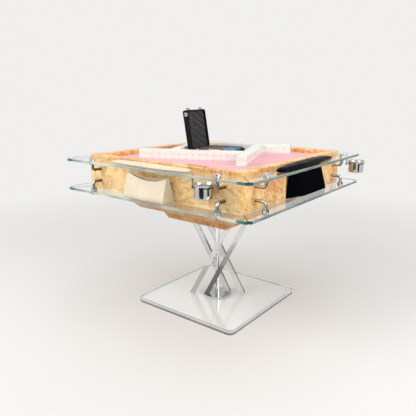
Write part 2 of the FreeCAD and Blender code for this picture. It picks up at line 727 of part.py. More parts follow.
def make_pouch(label, kind, side, turn):
    """One open leather pouch on the lower glass; its mouth dips in the middle."""
    half_length, depth = value(kind + "_half_length"), value(kind + "_depth")
    height, sag, skin = value(kind + "_height"), value(kind + "_sag"), value("pouch_skin")
    mouth, gusset = value("pouch_mouth"), value(kind + "_gusset")
    outside = pouch_body(half_length, depth, mouth, height, gusset, 0)
    hollow = pouch_body(half_length, depth, mouth, height, gusset, skin)
    hollow = hollow.copy()
    hollow.translate(V(0, 0, skin))
    dip_radius = (half_length ** 2 + sag ** 2) / (2 * sag)
    over = value("overrun")
    dip = Part.makeCylinder(dip_radius, depth + 2 * over, V(0, -depth / 2 - over, height + dip_radius - sag),
                            V(0, 1, 0))
    pouch = doc.addObject("Part::Feature", label)
    pouch.Shape = outside.cut(hollow).cut(dip)
    x, y = on_side(side, kind + "_along", "(case_half + seat_gap + %s_depth / 2)" % kind)
    node(label, put(pouch, x, y, LOWER_GLASS + " + glass_thick + seat_gap", str(turn)))


def make_soft_pieces():
    """Pads on the upper glass and pouches on the lower: pale at front and back, dark at the sides."""
    for side, turn in SIDES:
        if side == "right":
            make_pad("pad_right", "puffy_pad", side, PUFFY_LEVEL_SHARES, PUFFY_TIP_SHARE,
                     "puffy_pad_turn + %d" % turn)
        else:
            make_pad("pad_" + side, "flat_pad", side, FLAT_LEVEL_SHARES, FLAT_TIP_SHARE,
                     "flat_pad_turn + %d" % turn)
        make_pouch("pouch_" + side, "wide_pouch" if side in ("front", "back") else "slim_pouch", side, turn)


STACKS_IN_WALL = 15


def make_tile_walls():
    """Four double rows of tiles, each wall overlapping the end of the next like a pinwheel."""
    pitch, width, length, thick = (value("tile_" + name) for name in ("pitch", "width", "length", "thick"))
    reach, gap = value("wheel_reach"), value("stack_gap")
    first = reach - length - STACKS_IN_WALL * pitch
    for number, (side, turn) in enumerate(SIDES, 1):
        tiles = []
        for stack in range(STACKS_IN_WALL):
            for layer in range(2):
                corner = V(first + stack * pitch, -reach, layer * (thick + gap))
                tiles.append(Part.makeBox(width, length, thick, corner))
        wall = doc.addObject("Part::Feature", "tile_wall_%d" % number)
        wall.Shape = Part.makeCompound(tiles)
        put(wall, "wheel_x", "wheel_y", CLOTH_TOP + " + seat_gap", "wheel_turn + %d" % turn)
        node("tile_wall_%d" % number, wall)


CHIP_ROWS = 5
CHIP_STACKS = 3


def make_chip_case():
    """Tray with hinge knuckles, lid that stands open, hinge pin, clasps and rows of chips."""
    tray_place = {"x": "tray_x", "y": "tray_y", "z": CLOTH_TOP + " + seat_gap", "turn": "tray_turn"}
    axis = "(tray_half_u + hinge_offset)"
    outside = block("tray_outside", "-tray_half_u", "-tray_half_v", "0", "2 * tray_half_u",
                    "2 * tray_half_v", "tray_height")
    inside = block("tray_inside", "-(tray_half_u - tray_wall)", "-(tray_half_v - tray_wall)", "tray_wall",
                   "2 * (tray_half_u - tray_wall)", "2 * (tray_half_v - tray_wall)", "tray_height")
    knuckles = []
    for end, way in (("far", ""), ("near", "-")):
        low = "%s(2 * knuckle_spacing) - knuckle_length / 2" % way
        knuckles.append(rod("tray_knuckle_" + end, "knuckle_radius", "knuckle_length", "-" + axis,
                            "%s + knuckle_length" % low, "tray_height", V(1, 0, 0), "90"))
        knuckles.append(block("tray_lug_" + end, "-" + axis, low, "tray_height - 2 * knuckle_radius",
                              "hinge_offset", "knuckle_length", "2 * knuckle_radius"))
    bore = rod("tray_bore", "hinge_pin_radius + running_gap", "4 * tray_half_v", "-" + axis,
               "2 * tray_half_v", "tray_height", V(1, 0, 0), "90")
    body = joined("tray_body", cut("tray_shell", outside, inside), *knuckles)
    node("case_tray", put(cut("case_tray", body, bore), **tray_place))
    chips = []
    row_pitch = value("2 * (tray_half_v - tray_wall)") / CHIP_ROWS
    stack_length = value("2 * (tray_half_u - tray_wall - chip_row_end)") / CHIP_STACKS
    for chip_row in range(CHIP_ROWS):
        for stack in range(CHIP_STACKS):
            start = V((stack - CHIP_STACKS / 2) * stack_length, (chip_row - (CHIP_ROWS - 1) / 2) * row_pitch,
                      value("tray_wall + seat_gap + chip_radius"))
            chips.append(Part.makeCylinder(value("chip_radius"), stack_length - value("chip_stack_gap"),
                                           start, V(1, 0, 0)))
    pile = doc.addObject("Part::Feature", "case_chips")
    pile.Shape = Part.makeCompound(chips)
    node("case_chips", put(pile, **tray_place))
    # The lid is made shut, about its hinge line, and then swung open
    shell = block("lid_outside", "hinge_offset", "-tray_half_v", "seat_gap", "2 * tray_half_u",
                  "2 * tray_half_v", "lid_thick")
    recess = block("lid_recess_space", "hinge_offset + tray_wall", "-(tray_half_v - tray_wall)", "-overrun",
                   "2 * (tray_half_u - tray_wall)", "2 * (tray_half_v - tray_wall)",
                   "lid_recess + seat_gap + overrun")
    parts = []
    for end, way in (("far", ""), ("near", "-")):
        low = "%sknuckle_spacing - knuckle_length / 2" % way
        parts.append(rod("lid_knuckle_" + end, "knuckle_radius", "knuckle_length", "0",
                         "%s + knuckle_length" % low, "0", V(1, 0, 0), "90"))
        parts.append(block("lid_lug_" + end, "0", low, "seat_gap", "hinge_offset", "knuckle_length",
                           "2 * knuckle_radius"))
    lid_bore = rod("lid_bore", "hinge_pin_radius + running_gap", "4 * tray_half_v", "0", "2 * tray_half_v",
                   "0", V(1, 0, 0), "90")
    shut = cut("lid_shut", joined("lid_body", cut("lid_shell", shell, recess), *parts), lid_bore)
    clasp_parts = []
    for end, way in (("far", ""), ("near", "-")):
        clasp_parts.append(block("clasp_" + end, "hinge_offset + 2 * tray_half_u",
                                 "%sclasp_place - clasp_width / 2" % way,
                                 "seat_gap + lid_thick / 2 - clasp_thick / 2", "clasp_height",
                                 "clasp_width", "clasp_thick"))
    hinge_line = {"x": "tray_x - %s * cos(tray_turn)" % axis, "y": "tray_y - %s * sin(tray_turn)" % axis,
                  "z": CLOTH_TOP + " + seat_gap + tray_height", "turn": "tray_turn"}
    swung_lid = put(group("lid_swung", shut), turn="lid_open", axis=V(0, -1, 0))
    node("case_lid", put(group("case_lid", swung_lid), **hinge_line))
    swung_clasps = put(group("clasps_swung", *clasp_parts), turn="lid_open", axis=V(0, -1, 0))
    node("case_clasps", put(group("case_clasps", swung_clasps), **hinge_line))
    half_pin = "(2 * knuckle_spacing + knuckle_length / 2 + hinge_pin_end)"
    pin = rod("pin", "hinge_pin_radius", "2 * %s" % half_pin, "0", half_pin, "0", V(1, 0, 0), "90")
    node("case_hinge_pin", put(group("case_hinge_pin", pin), **hinge_line))


def make_machine():
    """Tile lifts, centre console, shuffling disc, motor and friction drive wheel."""
    lift = block("lift", "-lift_half_length", "-(lift_out + lift_half_width)", DECK_BOTTOM,
                 "2 * lift_half_length", "2 * lift_half_width", "%s - %s" % (CLOTH_TOP, DECK_BOTTOM))
    on_four_sides("tile_lifts", lift)
    console = [("0", SHUFFLE_TOP + " + seat_gap"), ("console_stem_radius", SHUFFLE_TOP + " + seat_gap"),
               ("console_stem_radius", DECK_BOTTOM), ("console_radius", DECK_BOTTOM),
               ("console_radius", CLOTH_TOP), ("0", CLOTH_TOP)]
    node("centre_console", turned_body("centre_console", console))
    hub_top = "(%s + hub_height)" % HUB_BOTTOM
    foot = HULL_FLOOR_TOP + " + seat_gap"
    disc = [("0", foot), ("spindle_radius", foot), ("spindle_radius", HUB_BOTTOM),
            ("hub_radius", HUB_BOTTOM), ("hub_radius", hub_top), ("2 * spindle_radius", hub_top),
            ("2 * spindle_radius", SHUFFLE_BOTTOM), ("shuffle_radius", SHUFFLE_BOTTOM),
            ("shuffle_radius", SHUFFLE_TOP), ("0", SHUFFLE_TOP)]
    node("shuffle_disc", turned_body("shuffle_disc", disc))
    beside = "hub_radius + drive_radius + seat_gap"
    motor_top = "(%s - motor_gap)" % HUB_BOTTOM
    can = rod("motor_can", "motor_radius", "%s - %s" % (motor_top, HULL_FLOOR_TOP), beside, "0",
              HULL_FLOOR_TOP)
    bore = rod("motor_bore", "drive_shaft_radius + running_gap", "drive_shaft_length + seat_gap + overrun",
               beside, "0", "%s - drive_shaft_length - seat_gap" % motor_top)
    node("drive_motor", cut("drive_motor", can, bore))
    wheel = [("0", motor_top + " - drive_shaft_length"),
             ("drive_shaft_radius", motor_top + " - drive_shaft_length"),
             ("drive_shaft_radius", HUB_BOTTOM), ("drive_radius", HUB_BOTTOM),
             ("drive_radius", hub_top), ("0", hub_top)]
    node("drive_wheel", put(turned_body("drive_wheel", wheel), beside, "0"))


def check_and_write():
    """Stop if anything failed; otherwise write each sub-part to its own file."""
    doc.recompute()
    for thing in doc.Objects:
        if {"Invalid", "Error"} & set(thing.State):
            raise RuntimeError("%s failed: %s" % (thing.Label, thing.State))
    os.makedirs("parts", exist_ok=True)
    for thing in nodes:
        shape = thing.Shape
        if shape.isNull() or not shape.isValid() or not shape.Solids:
            raise RuntimeError("%s has no valid solid" % thing.Label)
        solids = shape.Solids
        whole = solids[0] if len(solids) == 1 else Part.makeCompound(solids)
        whole.exportStep("parts/%s.step" % thing.Label)
    print("%d sub-parts written" % len(nodes))


make_foot()
make_bars()
make_hull("hull_lower", "lower_hull_bottom_half", "lower_hull_top_half", LEG_TOP, "lower_hull_height")
make_hull("hull_upper", "upper_hull_bottom_half", "upper_hull_top_half", HULL_STEP, "upper_hull_height")
make_cabinet()
make_playing_surface()
make_glass("upper", UPPER_GLASS)
make_glass("lower", LOWER_GLASS)
make_glass_carriers()
make_cup_holders()
make_soft_pieces()
make_tile_walls()
make_chip_case()
make_machine()
check_and_write()
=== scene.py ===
import bpy
import math
import random
from bpy.props import FloatProperty, FloatVectorProperty, IntProperty, PointerProperty
from mathutils import Matrix, Vector, noise


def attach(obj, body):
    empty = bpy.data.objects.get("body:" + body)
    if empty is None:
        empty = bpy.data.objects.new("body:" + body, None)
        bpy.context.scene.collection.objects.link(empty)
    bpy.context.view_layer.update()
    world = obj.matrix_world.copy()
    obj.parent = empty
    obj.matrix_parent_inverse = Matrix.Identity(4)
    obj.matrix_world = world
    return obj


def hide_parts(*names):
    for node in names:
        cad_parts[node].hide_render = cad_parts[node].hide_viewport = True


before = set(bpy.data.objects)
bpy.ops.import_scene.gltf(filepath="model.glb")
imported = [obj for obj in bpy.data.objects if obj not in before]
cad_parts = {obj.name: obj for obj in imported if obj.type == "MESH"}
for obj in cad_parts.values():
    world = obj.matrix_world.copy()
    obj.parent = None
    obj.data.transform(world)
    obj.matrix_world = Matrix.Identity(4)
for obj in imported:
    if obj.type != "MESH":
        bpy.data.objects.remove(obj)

bl_info = {
    "name": "Automatic Mahjong Table",
    "version": (1, 0, 0),
    "blender": (4, 5, 0),
    "location": "View3D > Sidebar > Mahjong Table",
    "description": "Dresses and furnishes a square mahjong table on a clear foot",
    "category": "Object",
}

# The four sides and their turn round the table, in degrees
SIDES = {"front": 0, "right": 90, "back": 180, "left": 270}

# Levels in metres of what stands on the cloth, the upper glass and the lower glass, each 0.3 mm clear of it
CLOTH_LEVEL = 0.7628
PAD_LEVEL = 0.767
POUCH_LEVEL = 0.627

# How far out the pouches' backs and the middles of the side panels' clusters of eyes are
POUCH_BACK = 0.4503
KNOT_OUT = 0.455

# Where the lines along the lower panes' edges start, the step to the upper panes, the plate's thickness
EDGE_LINES = 0.619
PANE_STEP = 0.14
PLATE_THICK = 0.025

# Points of a mesh that are nearer than this become one
MERGE_GAP = 0.00001

# Directions of the bars' broad faces, which carry painted greys, and of the painted highlight along the rods
BAR_FACING = (0.3665, -0.9304, 0)
ROD_PAINTED_HIGHLIGHT = (0.22, -0.84, 0.5)

# Camera: place in metres and turn in degrees
CAMERA_PLACE = (1.3469, -1.8131, 1.0548)
CAMERA_TURN = (76.0757, 0, 37.9386)

# Clusters of eyes: along a side panel and up it, and round the rim
PANEL_KNOTS = ((-0.22, 0.69), (-0.25, 0.65), (-0.42, 0.65), (-0.36, 0.73), (0.4, 0.66))
RIM_KNOTS = ((-0.2, -0.45, 0.77), (0.33, -0.45, 0.775), (0.45, -0.3, 0.77), (0.45, 0.1, 0.77),
             (-0.45, 0.1, 0.775), (0.1, 0.45, 0.775))

# Tile walls: their turn, the middle they stand round, the first tile's low corner, its size and two pitches
WALL_TURN = 23.4
WALL_CENTRE = (-0.0274, 0.0378)
FIRST_TILE = (-0.3503, -0.2042)
TILE_SIZE = (0.0339, 0.0445, 0.0226)
TILE_PITCH = 0.034
TILE_LEVEL = 0.0227
TILES_ALONG = 15

# Chip case: its place and turn, the tray's half sides and height, the hinge, the lid, a corner cap's reach
CASE_PLACE = (-0.021, 0.043, CLOTH_LEVEL)
CASE_TURN = 14
TRAY_HALF_U = 0.0985
TRAY_HALF_V = 0.1055
TRAY_HEIGHT = 0.0307
HINGE_OFFSET = 0.003
LID_THICK = 0.0283
LID_OPEN = 98.8
CORNER_ARM = 0.017

# Chips: pitch of the rows, half length of a row, height of its middle, chips in a stack and two pitches
ROW_PITCH = 0.0406
ROW_HALF = 0.0915
ROW_HEIGHT = 0.0226
STACK_CHIPS = 19
CHIP_THICK = 0.0031
CHIP_PITCH = 0.00318
STACK_PITCH = 0.061

# Where the cups stand, in X and Y
CUP_PLACES = {
    "front": (0.3002, -0.49925),
    "right": (0.52775, 0.48537),
    "back": (-0.3002, 0.49925),
    "left": (-0.49925, -0.3002),
}


def colour_property(title, words, default):
    """A colour that a user can change."""
    return FloatVectorProperty(name=title, description=words, subtype="COLOR", size=3, min=0, max=1,
                               default=default)


def length_property(title, words, default):
    """A length in metres that a user can change."""
    return FloatProperty(name=title, description=words, default=default, min=0, unit="LENGTH", precision=4)


def power_property(title, words, default):
    """A lamp's power in watts that a user can change."""
    return FloatProperty(name=title, description=words, default=default, min=0, unit="POWER")


class TableFinishes(bpy.types.PropertyGroup):
    """Colours of the wood, cloth, leather, glass, acrylic, metal and game pieces."""
    wood_pale: colour_property("Pale wood", "Lightest honey tone of the burl", (0.97, 0.68, 0.34))
    wood_honey: colour_property("Honey wood", "Main tone of the burl", (0.88, 0.54, 0.22))
    wood_amber: colour_property("Amber wood", "Deep tone between the burl's figures", (0.72, 0.37, 0.12))
    wood_eye: colour_property("Burl eyes", "Orange brown of the burl's small eyes", (0.6, 0.2, 0.035))
    wood_pin: colour_property("Burl pins", "Near-black pin knots", (0.05, 0.02, 0.012))
    cloth: colour_property("Cloth", "Soft pink of the playing cloth", (0.93, 0.5, 0.55))
    tile: colour_property("Tiles", "Ivory of the tiles' sides", (0.89, 0.98, 0.92))
    tile_top: colour_property("Tile tops", "Ivory of the tiles' tops", (0.95, 0.94, 0.87))
    # Colour of the painted shade in the gaps where four tiles meet
    tile_gap_shade: colour_property("Tile gap shade", "Pinkish brown where four tiles meet", (0.5, 0.3, 0.25))
    pale_leather: colour_property("Pale leather", "Cream leather at front and back", (0.87, 0.75, 0.57))
    dark_leather: colour_property("Dark leather", "Near-black leather at the sides", (0.002, 0.0021, 0.004))
    glass: colour_property("Glass face", "Tint of a pane seen through its faces", (0.965, 0.99, 0.985))
    glass_edge: colour_property("Glass edge", "Pale grey green of a pane's long edges", (0.42, 0.52, 0.46))
    glass_corner: colour_property("Glass corner", "Teal beside clipped corners and mitres", (0.03, 0.3, 0.3))
    acrylic: colour_property("Acrylic", "Tint of the clear foot and bars", (0.955, 0.96, 0.955))
    acrylic_edge: colour_property("Acrylic edge", "Grey of the foot's and bars' edges", (0.36, 0.37, 0.365))
    # Grey level of the painted shade low on the front bar
    low_bar_shade: FloatProperty(name="Painted shade low on bar", description="Grey low on the front bar", default=0.2,
                         min=0, max=1, subtype="FACTOR")
    chrome: colour_property("Chrome", "Bright chrome of pole, rods and caps", (0.7, 0.71, 0.72))
    steel: colour_property("Cup steel", "Polished steel of the cups", (0.58, 0.57, 0.55))
    case_black: colour_property("Case black", "Black covering of the chip case", (0.008, 0.008, 0.009))
    fittings: colour_property("Case fittings", "Satin metal of the case's fittings", (0.5, 0.5, 0.5))


class TableShapes(bpy.types.PropertyGroup):
    """Sizes of the details that the pieces carry."""
    tile_round: length_property("Tile rounding", "Radius of a tile's edges", 0.0006)
    tile_wobble: length_property("Tile wobble", "How far tiles stand out of line", 0.0001)
    seam_width: length_property("Seam width", "Radius of the piping on the hand pads", 0.0009)
    pouch_skin: length_property("Pouch skin", "Thickness of the pouches' leather", 0.0022)
    pouch_pleat: length_property("Pouch pleat", "Depth of the fold in one end of a pouch", 0.012)
    pouch_gape: length_property("Pouch gape", "How far each lip of a pouch stands open", 0.0035)
    pouch_taper: length_property("Pouch taper", "How far the slim pouches draw in at the top", 0.04)
    pad_reach: length_property("Pad swelling", "How far the stuffed pad swells; flat ones do less", 0.004)
    pad_pressure: FloatProperty(name="Pad pressure", description="Air pressure in the swelling pads",
                                default=4, min=0, max=20)
    cup_steps: IntProperty(name="Cup steps", description="Faces round a cup", default=72, min=24, max=160)


class StudioSettings(bpy.types.PropertyGroup):
    """Light, background and camera of the studio."""
    key_power: power_property("Key light", "Watts of the large front-left lamp", 64)
    fill_power: power_property("Fill light", "Watts of the right-hand lamp", 44)
    top_power: power_property("Top light", "Watts of the lamp above the table", 15)
    world_light: FloatProperty(name="Room light", description="Strength of the even light all round",
                               default=0.55, min=0, max=2)
    backdrop: colour_property("Backdrop", "Background that the camera sees", (0.87, 0.865, 0.855))
    floor: colour_property("Floor", "Pale floor under the table", (0.86, 0.855, 0.845))
    lens: FloatProperty(name="Lens", description="Focal length of the camera in millimetres",
                        default=38.88, min=10, max=200)


def finishes():
    """The colours that the user has set."""
    return bpy.context.scene.table_finishes


def shapes():
    """The detail sizes that the user has set."""
    return bpy.context.scene.table_shapes


def studio():
    """The studio settings that the user has set."""
    return bpy.context.scene.table_studio


def new_finish(name, colour, **values):
    """Start a material from one colour and the shader's own plain values."""
    material = bpy.data.materials.new(name)
    material.use_nodes = True
    material.diffuse_color = (*colour, 1)
    shader = material.node_tree.nodes["Principled BSDF"]
    shader.inputs["Base Color"].default_value = (*colour, 1)
    for label, amount in values.items():
        shader.inputs[label.replace("_", " ")].default_value = amount
    return material


def add_node(material, kind, sockets=None, **settings):
    """Add a shader node, with its settings first and then its sockets, linked or plain."""
    thing = material.node_tree.nodes.new("ShaderNode" + kind)
    for name, setting in settings.items():
        setattr(thing, name, setting)
    for name, source in (sockets or {}).items():
        if isinstance(source, bpy.types.NodeSocket):
            material.node_tree.links.new(source, thing.inputs[name])
        else:
            thing.inputs[name].default_value = source
    return thing


def feed(material, label, source):
    """Link a socket to the material's main shader."""
    shader = material.node_tree.nodes["Principled BSDF"]
    material.node_tree.links.new(source, shader.inputs[label])


def own_place(material):
    """Coordinates that stay with the object."""
    return add_node(material, "TexCoord").outputs["Object"]


def speckle(material, scale, detail=2, vector=None, roughness=0.5, distortion=0):
    """Noise between 0 and 1."""
    vector = vector or own_place(material)
    settings = {"Vector": vector, "Scale": scale, "Detail": detail, "Roughness": roughness,
                "Distortion": distortion}
    return add_node(material, "TexNoise", settings).outputs["Fac"]


def vector_step(material, how, first, second=(0, 0, 0), third=(0, 0, 0)):
    """One step of arithmetic on vectors, giving a vector or, for lengths and products, a value."""
    step = add_node(material, "VectorMath", {0: first, 1: second, 2: third}, operation=how)
    return step.outputs["Vector" if how.startswith("MULTIPLY") else "Value"]


def cell_distance(material, scale, vector=None):
    """Distance from the middles of scattered cells."""
    sockets = {"Vector": vector or own_place(material), "Scale": scale}
    return add_node(material, "TexVoronoi", sockets).outputs["Distance"]


def stretched(material, scale, turn=0, place=(0, 0, 0)):
    """Object coordinates, centred, turned about Z and stretched."""
    sockets = {"Vector": own_place(material), "Location": place, "Rotation": (0, 0, math.radians(turn))}
    turned = add_node(material, "Mapping", sockets, vector_type="TEXTURE").outputs["Vector"]
    return vector_step(material, "MULTIPLY", turned, scale)


def axes_of(material, vector=None):
    """The X, Y and Z of a place, by default of the object's own."""
    return add_node(material, "SeparateXYZ", {0: vector or own_place(material)}).outputs


def ramp(material, source, *stops):
    """Colours or grey levels along a value, from pairs of place and colour."""
    thing = add_node(material, "ValToRGB", {"Fac": source})
    elements = thing.color_ramp.elements
    elements.remove(elements[1])
    for number, (place, colour) in enumerate(stops):
        colour = (*colour, 1) if hasattr(colour, "__len__") else (colour, colour, colour, 1)
        if number:
            elements.new(place).color = colour
        else:
            elements[0].position = place
            elements[0].color = colour
    return thing.outputs["Color"]


def blend_colours(material, share, first, second, how="MIX"):
    """Mix two colours by a share."""
    first = (*first, 1) if not isinstance(first, bpy.types.NodeSocket) else first
    second = (*second, 1) if not isinstance(second, bpy.types.NodeSocket) else second
    sockets = {0: share, 6: first, 7: second}
    return add_node(material, "Mix", sockets, data_type="RGBA", blend_type=how).outputs[2]


def calculate(material, how, first, second=0.0, third=0.0):
    """One step of arithmetic on values."""
    return add_node(material, "Math", {0: first, 1: second, 2: third}, operation=how).outputs["Value"]


def times(material, first, second):
    """The product of two values."""
    return calculate(material, "MULTIPLY", first, second)


def plus(material, first, second):
    """The sum of two values."""
    return calculate(material, "ADD", first, second)


def scaled(material, value, factor, shift):
    """A value times a factor, with a shift added."""
    return calculate(material, "MULTIPLY_ADD", value, factor, shift)


def multiplied(material, first, second):
    """The product of two colours."""
    return blend_colours(material, 1.0, first, second, "MULTIPLY")


def raise_grain(material, height, strength, distance):
    """Turn a value into small relief."""
    bump = add_node(material, "Bump", {"Height": height, "Strength": strength, "Distance": distance})
    feed(material, "Normal", bump.outputs["Normal"])


def show_mix(holder, share, second, first="Principled BSDF", end="Material Output"):
    """Show a second shader in place of the first, by a share."""
    tree = holder.node_tree
    sockets = {0: share, 1: tree.nodes[first].outputs[0], 2: second.outputs[0]}
    mix = add_node(holder, "MixShader", sockets)
    tree.links.new(mix.outputs[0], tree.nodes[end].inputs["Surface"])


def let_lamps_through(material, tint):
    """Let light from lamps pass clear material, so that it doesn't cast a solid shadow."""
    shadow = add_node(material, "LightPath").outputs["Is Shadow Ray"]
    show_mix(material, shadow, add_node(material, "BsdfTransparent", {"Color": (*tint, 1)}))


def facing(material, direction):
    """How far a surface faces along a line, either way, from 0 to 1."""
    normal = add_node(material, "TexCoord").outputs["Normal"]
    return calculate(material, "ABSOLUTE", vector_step(material, "DOT_PRODUCT", normal, direction))


def facing_up(material):
    """How far a surface faces up or down, from 0 at an upright face to 1."""
    return facing(material, (0, 0, 1))


def burl_finish(name, tint, calm, drawn, knots=(), low_rows=0.0):
    """Glossy burl veneer: mottled honey figure, clusters of orange eyes and a few dark pin knots.

    A higher calm gives fewer eyes, drawn stretches the figure upright, eyes gather round the knots,
    and low_rows adds eyes along the rim's lower edge.
    """
    amber, honey, pale, eye = (Matrix.Diagonal(tint) @ Vector(tone) for tone in (
        finishes().wood_amber, finishes().wood_honey, finishes().wood_pale, finishes().wood_eye))
    wood = new_finish(name, honey, Roughness=0.34, Coat_Weight=0.4, Coat_Roughness=0.06)
    place = own_place(wood)
    tall = vector_step(wood, "MULTIPLY", place, (1, 1, drawn))
    drift = add_node(wood, "TexNoise", {"Vector": tall, "Scale": 7, "Detail": 2}).outputs["Color"]
    bent = vector_step(wood, "MULTIPLY_ADD", drift, (0.2, 0.2, 0.2), tall)
    figure = speckle(wood, 12, 4, bent, 0.5, 1.5)
    base = ramp(wood, figure, (0.32, amber), (0.43, honey), (0.55, pale))
    curls = ramp(wood, speckle(wood, 26, 3, bent, 0.5, 3.0), (0.38, (0.82, 0.72, 0.58)),
                 (0.5, (0.99, 0.98, 0.96)), (0.62, (1.04, 1.05, 1.08)))
    colour = multiplied(wood, base, curls)
    gather = speckle(wood, 12, 2, tall)
    for knot in knots:
        away = vector_step(wood, "DISTANCE", place, knot)
        gather = plus(wood, gather, ramp(wood, away, (0.02, 0.2), (0.09, 0)))
    if low_rows:
        height = axes_of(wood, place)["Z"]
        gather = plus(wood, gather, ramp(wood, height, (0.766, low_rows), (0.782, 0)))
    clusters = ramp(wood, gather, (calm, 0), (calm + 0.05, 1))
    frayed = vector_step(wood, "MULTIPLY_ADD", drift, (0.03, 0.03, 0.03), place)
    cells = cell_distance(wood, 76, frayed)
    spots = ramp(wood, cells, (0, 1), (0.3, 0.85), (0.46, 0))
    halo = ramp(wood, cells, (0.45, 0.6), (0.9, 0.1))
    colour = blend_colours(wood, times(wood, halo, clusters), colour, amber)
    colour = blend_colours(wood, times(wood, spots, clusters), colour, eye)
    dots = cell_distance(wood, 60, place)
    few = ramp(wood, gather, (calm + 0.13, 0), (calm + 0.16, 1))
    pins = times(wood, ramp(wood, dots, (0.12, 1), (0.2, 0)), few)
    feed(wood, "Base Color", blend_colours(wood, pins, colour, finishes().wood_pin))
    feed(wood, "Roughness", ramp(wood, figure, (0.3, 0.42), (0.7, 0.28)))
    return wood


def board_finish():
    """Plain unlacquered board inside the cabinet."""
    board = new_finish("plain_board", (0.48, 0.32, 0.17), Roughness=0.7)
    grain = speckle(board, 6, 5, stretched(board, (2, 22, 22)), 0.6, 0.8)
    feed(board, "Base Color", ramp(board, grain, (0.3, (0.36, 0.22, 0.11)), (0.65, (0.56, 0.4, 0.23))))
    raise_grain(board, grain, 0.2, 0.0006)
    return board


def metal_finish(name, colour, roughness, streaks, painted_reflection=False):
    """Polished metal with faint wipe marks, stretched by streaks, and on the rods a painted reflection: dark
    sides and one bright streak.
    """
    metal = new_finish(name, colour, Metallic=1, Roughness=roughness)
    marks = speckle(metal, 30, 4, stretched(metal, streaks), 0.65)
    feed(metal, "Roughness", ramp(metal, marks, (0.35, roughness * 0.6), (0.7, roughness * 1.7)))
    tone = ramp(metal, marks, (0.3, Vector(colour) * 0.93), (0.7, Vector(colour) * 1.04))
    # The rods' colour takes a painted reflection: dark sides and one bright streak
    if painted_reflection:
        tone = multiplied(metal, tone, painted_rod_reflection(metal))
    feed(metal, "Base Color", tone)
    return metal


def painted_rod_reflection(metal):
    """Painted reflection along a rod: dark sides and one bright streak, set by the way the surface faces."""
    return ramp(metal, facing(metal, ROD_PAINTED_HIGHLIGHT), (0.25, 0.16), (0.42, 0.3), (0.5, 0.5), (0.6, 0.16),
                (0.74, 0.3), (0.82, 1.0), (0.9, 1.0))


def glass_finish():
    """Float glass: colourless faces, pale grey-green long edges, and teal clipped corners and mitres."""
    tint, edge = finishes().glass, Vector(finishes().glass_edge)
    glass = new_finish("clear_glass", tint, Roughness=0.0, IOR=1.5, Transmission_Weight=1)
    flat = ramp(glass, facing_up(glass), (0.35, 0), (0.75, 1))
    sideways = times(glass, facing(glass, (1, 0, 0)), facing(glass, (0, 1, 0)))
    corner = ramp(glass, sideways, (0.2, 0), (0.4, 1))
    wide = facing(glass, (0, 1, 0))
    place = axes_of(glass)
    across = calculate(glass, "FRACT", scaled(glass, place["Z"], 1 / PANE_STEP, -EDGE_LINES / PANE_STEP))
    lines = ramp(glass, across, (0.018, edge * 0.35), (0.03, edge * 1.5), (0.045, edge * 0.8))
    pale = ramp(glass, across, (0.01, edge * 1.1), (0.03, (0.86, 0.93, 0.89)))
    cloudy = ramp(glass, speckle(glass, 7, 2), (0.38, 0.65), (0.62, 1.1))
    tone = multiplied(glass, blend_colours(glass, wide, lines, pale), cloudy)
    reach = plus(glass, *(calculate(glass, "ABSOLUTE", place[axis]) for axis in ("X", "Y")))
    reach = scaled(glass, wide, 0.04, reach)
    tip = ramp(glass, scaled(glass, reach, 5.0, -5.0), (0.2, 0), (0.23, 1))
    side = blend_colours(glass, tip, tone, finishes().glass_corner)
    side = blend_colours(glass, corner, side, Vector(finishes().glass_corner) * 0.25)
    feed(glass, "Base Color", blend_colours(glass, flat, side, tint))
    feed(glass, "Transmission Weight", ramp(glass, flat, (0, 0.5), (1, 1)))
    let_lamps_through(glass, (0.93, 0.97, 0.955))
    return glass


def plate_finish():
    """Polished clear acrylic plate with grey outlines along its cut edge and fine wipe marks."""
    tint, edge = finishes().acrylic, Vector(finishes().acrylic_edge)
    plate = new_finish("clear_plate", tint, Roughness=0.01, IOR=1.49, Transmission_Weight=1)
    flat = ramp(plate, facing_up(plate), (0.3, 0), (0.95, 1))
    level = calculate(plate, "DIVIDE", axes_of(plate)["Z"], PLATE_THICK)
    outline = ramp(plate, level, (0.0, edge * 0.6), (0.25, edge * 0.55), (0.45, edge * 1.7),
                   (0.6, edge * 2.3), (0.9, edge * 2.3), (1.0, edge * 1.3))
    feed(plate, "Base Color", blend_colours(plate, flat, outline, tint))
    feed(plate, "Transmission Weight", ramp(plate, flat, (0, 0.25), (1, 1)))
    feed(plate, "Roughness", ramp(plate, speckle(plate, 14, 4), (0.4, 0.0), (0.75, 0.03)))
    let_lamps_through(plate, (0.9, 0.91, 0.91))
    return plate


def bar_finish(name, low, middle, high):
    """Clear acrylic bar with painted shade and painted refraction: three greys, warm at the bottom, up its
    broad faces, and the darker edge grey on its narrow faces.
    """
    edge = finishes().acrylic_edge
    bar = new_finish(name, (high, high, high), Roughness=0.02, IOR=1.49, Transmission_Weight=1)
    broad = ramp(bar, facing(bar, BAR_FACING), (0.5, 0), (0.8, 1))
    patches = speckle(bar, 5, 1, stretched(bar, (1, 1, 2)), 0.3)
    level = scaled(bar, patches, 0.25, axes_of(bar)["Z"])
    warm = Vector((1, 0.96, 0.9))
    # Painted shade and painted refraction: three greys up the bar by height, warm at the bottom
    tone = ramp(bar, level, (0.3, warm * low), (0.33, warm * low * 1.3), (0.34, (middle,) * 3),
                (0.44, (middle * 1.12,) * 3), (0.45, (high,) * 3), (0.62, (high * 0.92,) * 3))
    feed(bar, "Base Color", blend_colours(bar, broad, edge, tone))
    clear = ramp(bar, level, (0.33, 0.35), (0.46, 0.42))
    feed(bar, "Transmission Weight", times(bar, clear, ramp(bar, broad, (0, 0.6), (1, 1))))
    feed(bar, "Alpha", ramp(bar, level, (0.33, 1.0), (0.4, 0.75), (0.46, 0.4)))
    let_lamps_through(bar, (0.85, 0.86, 0.86))
    return bar


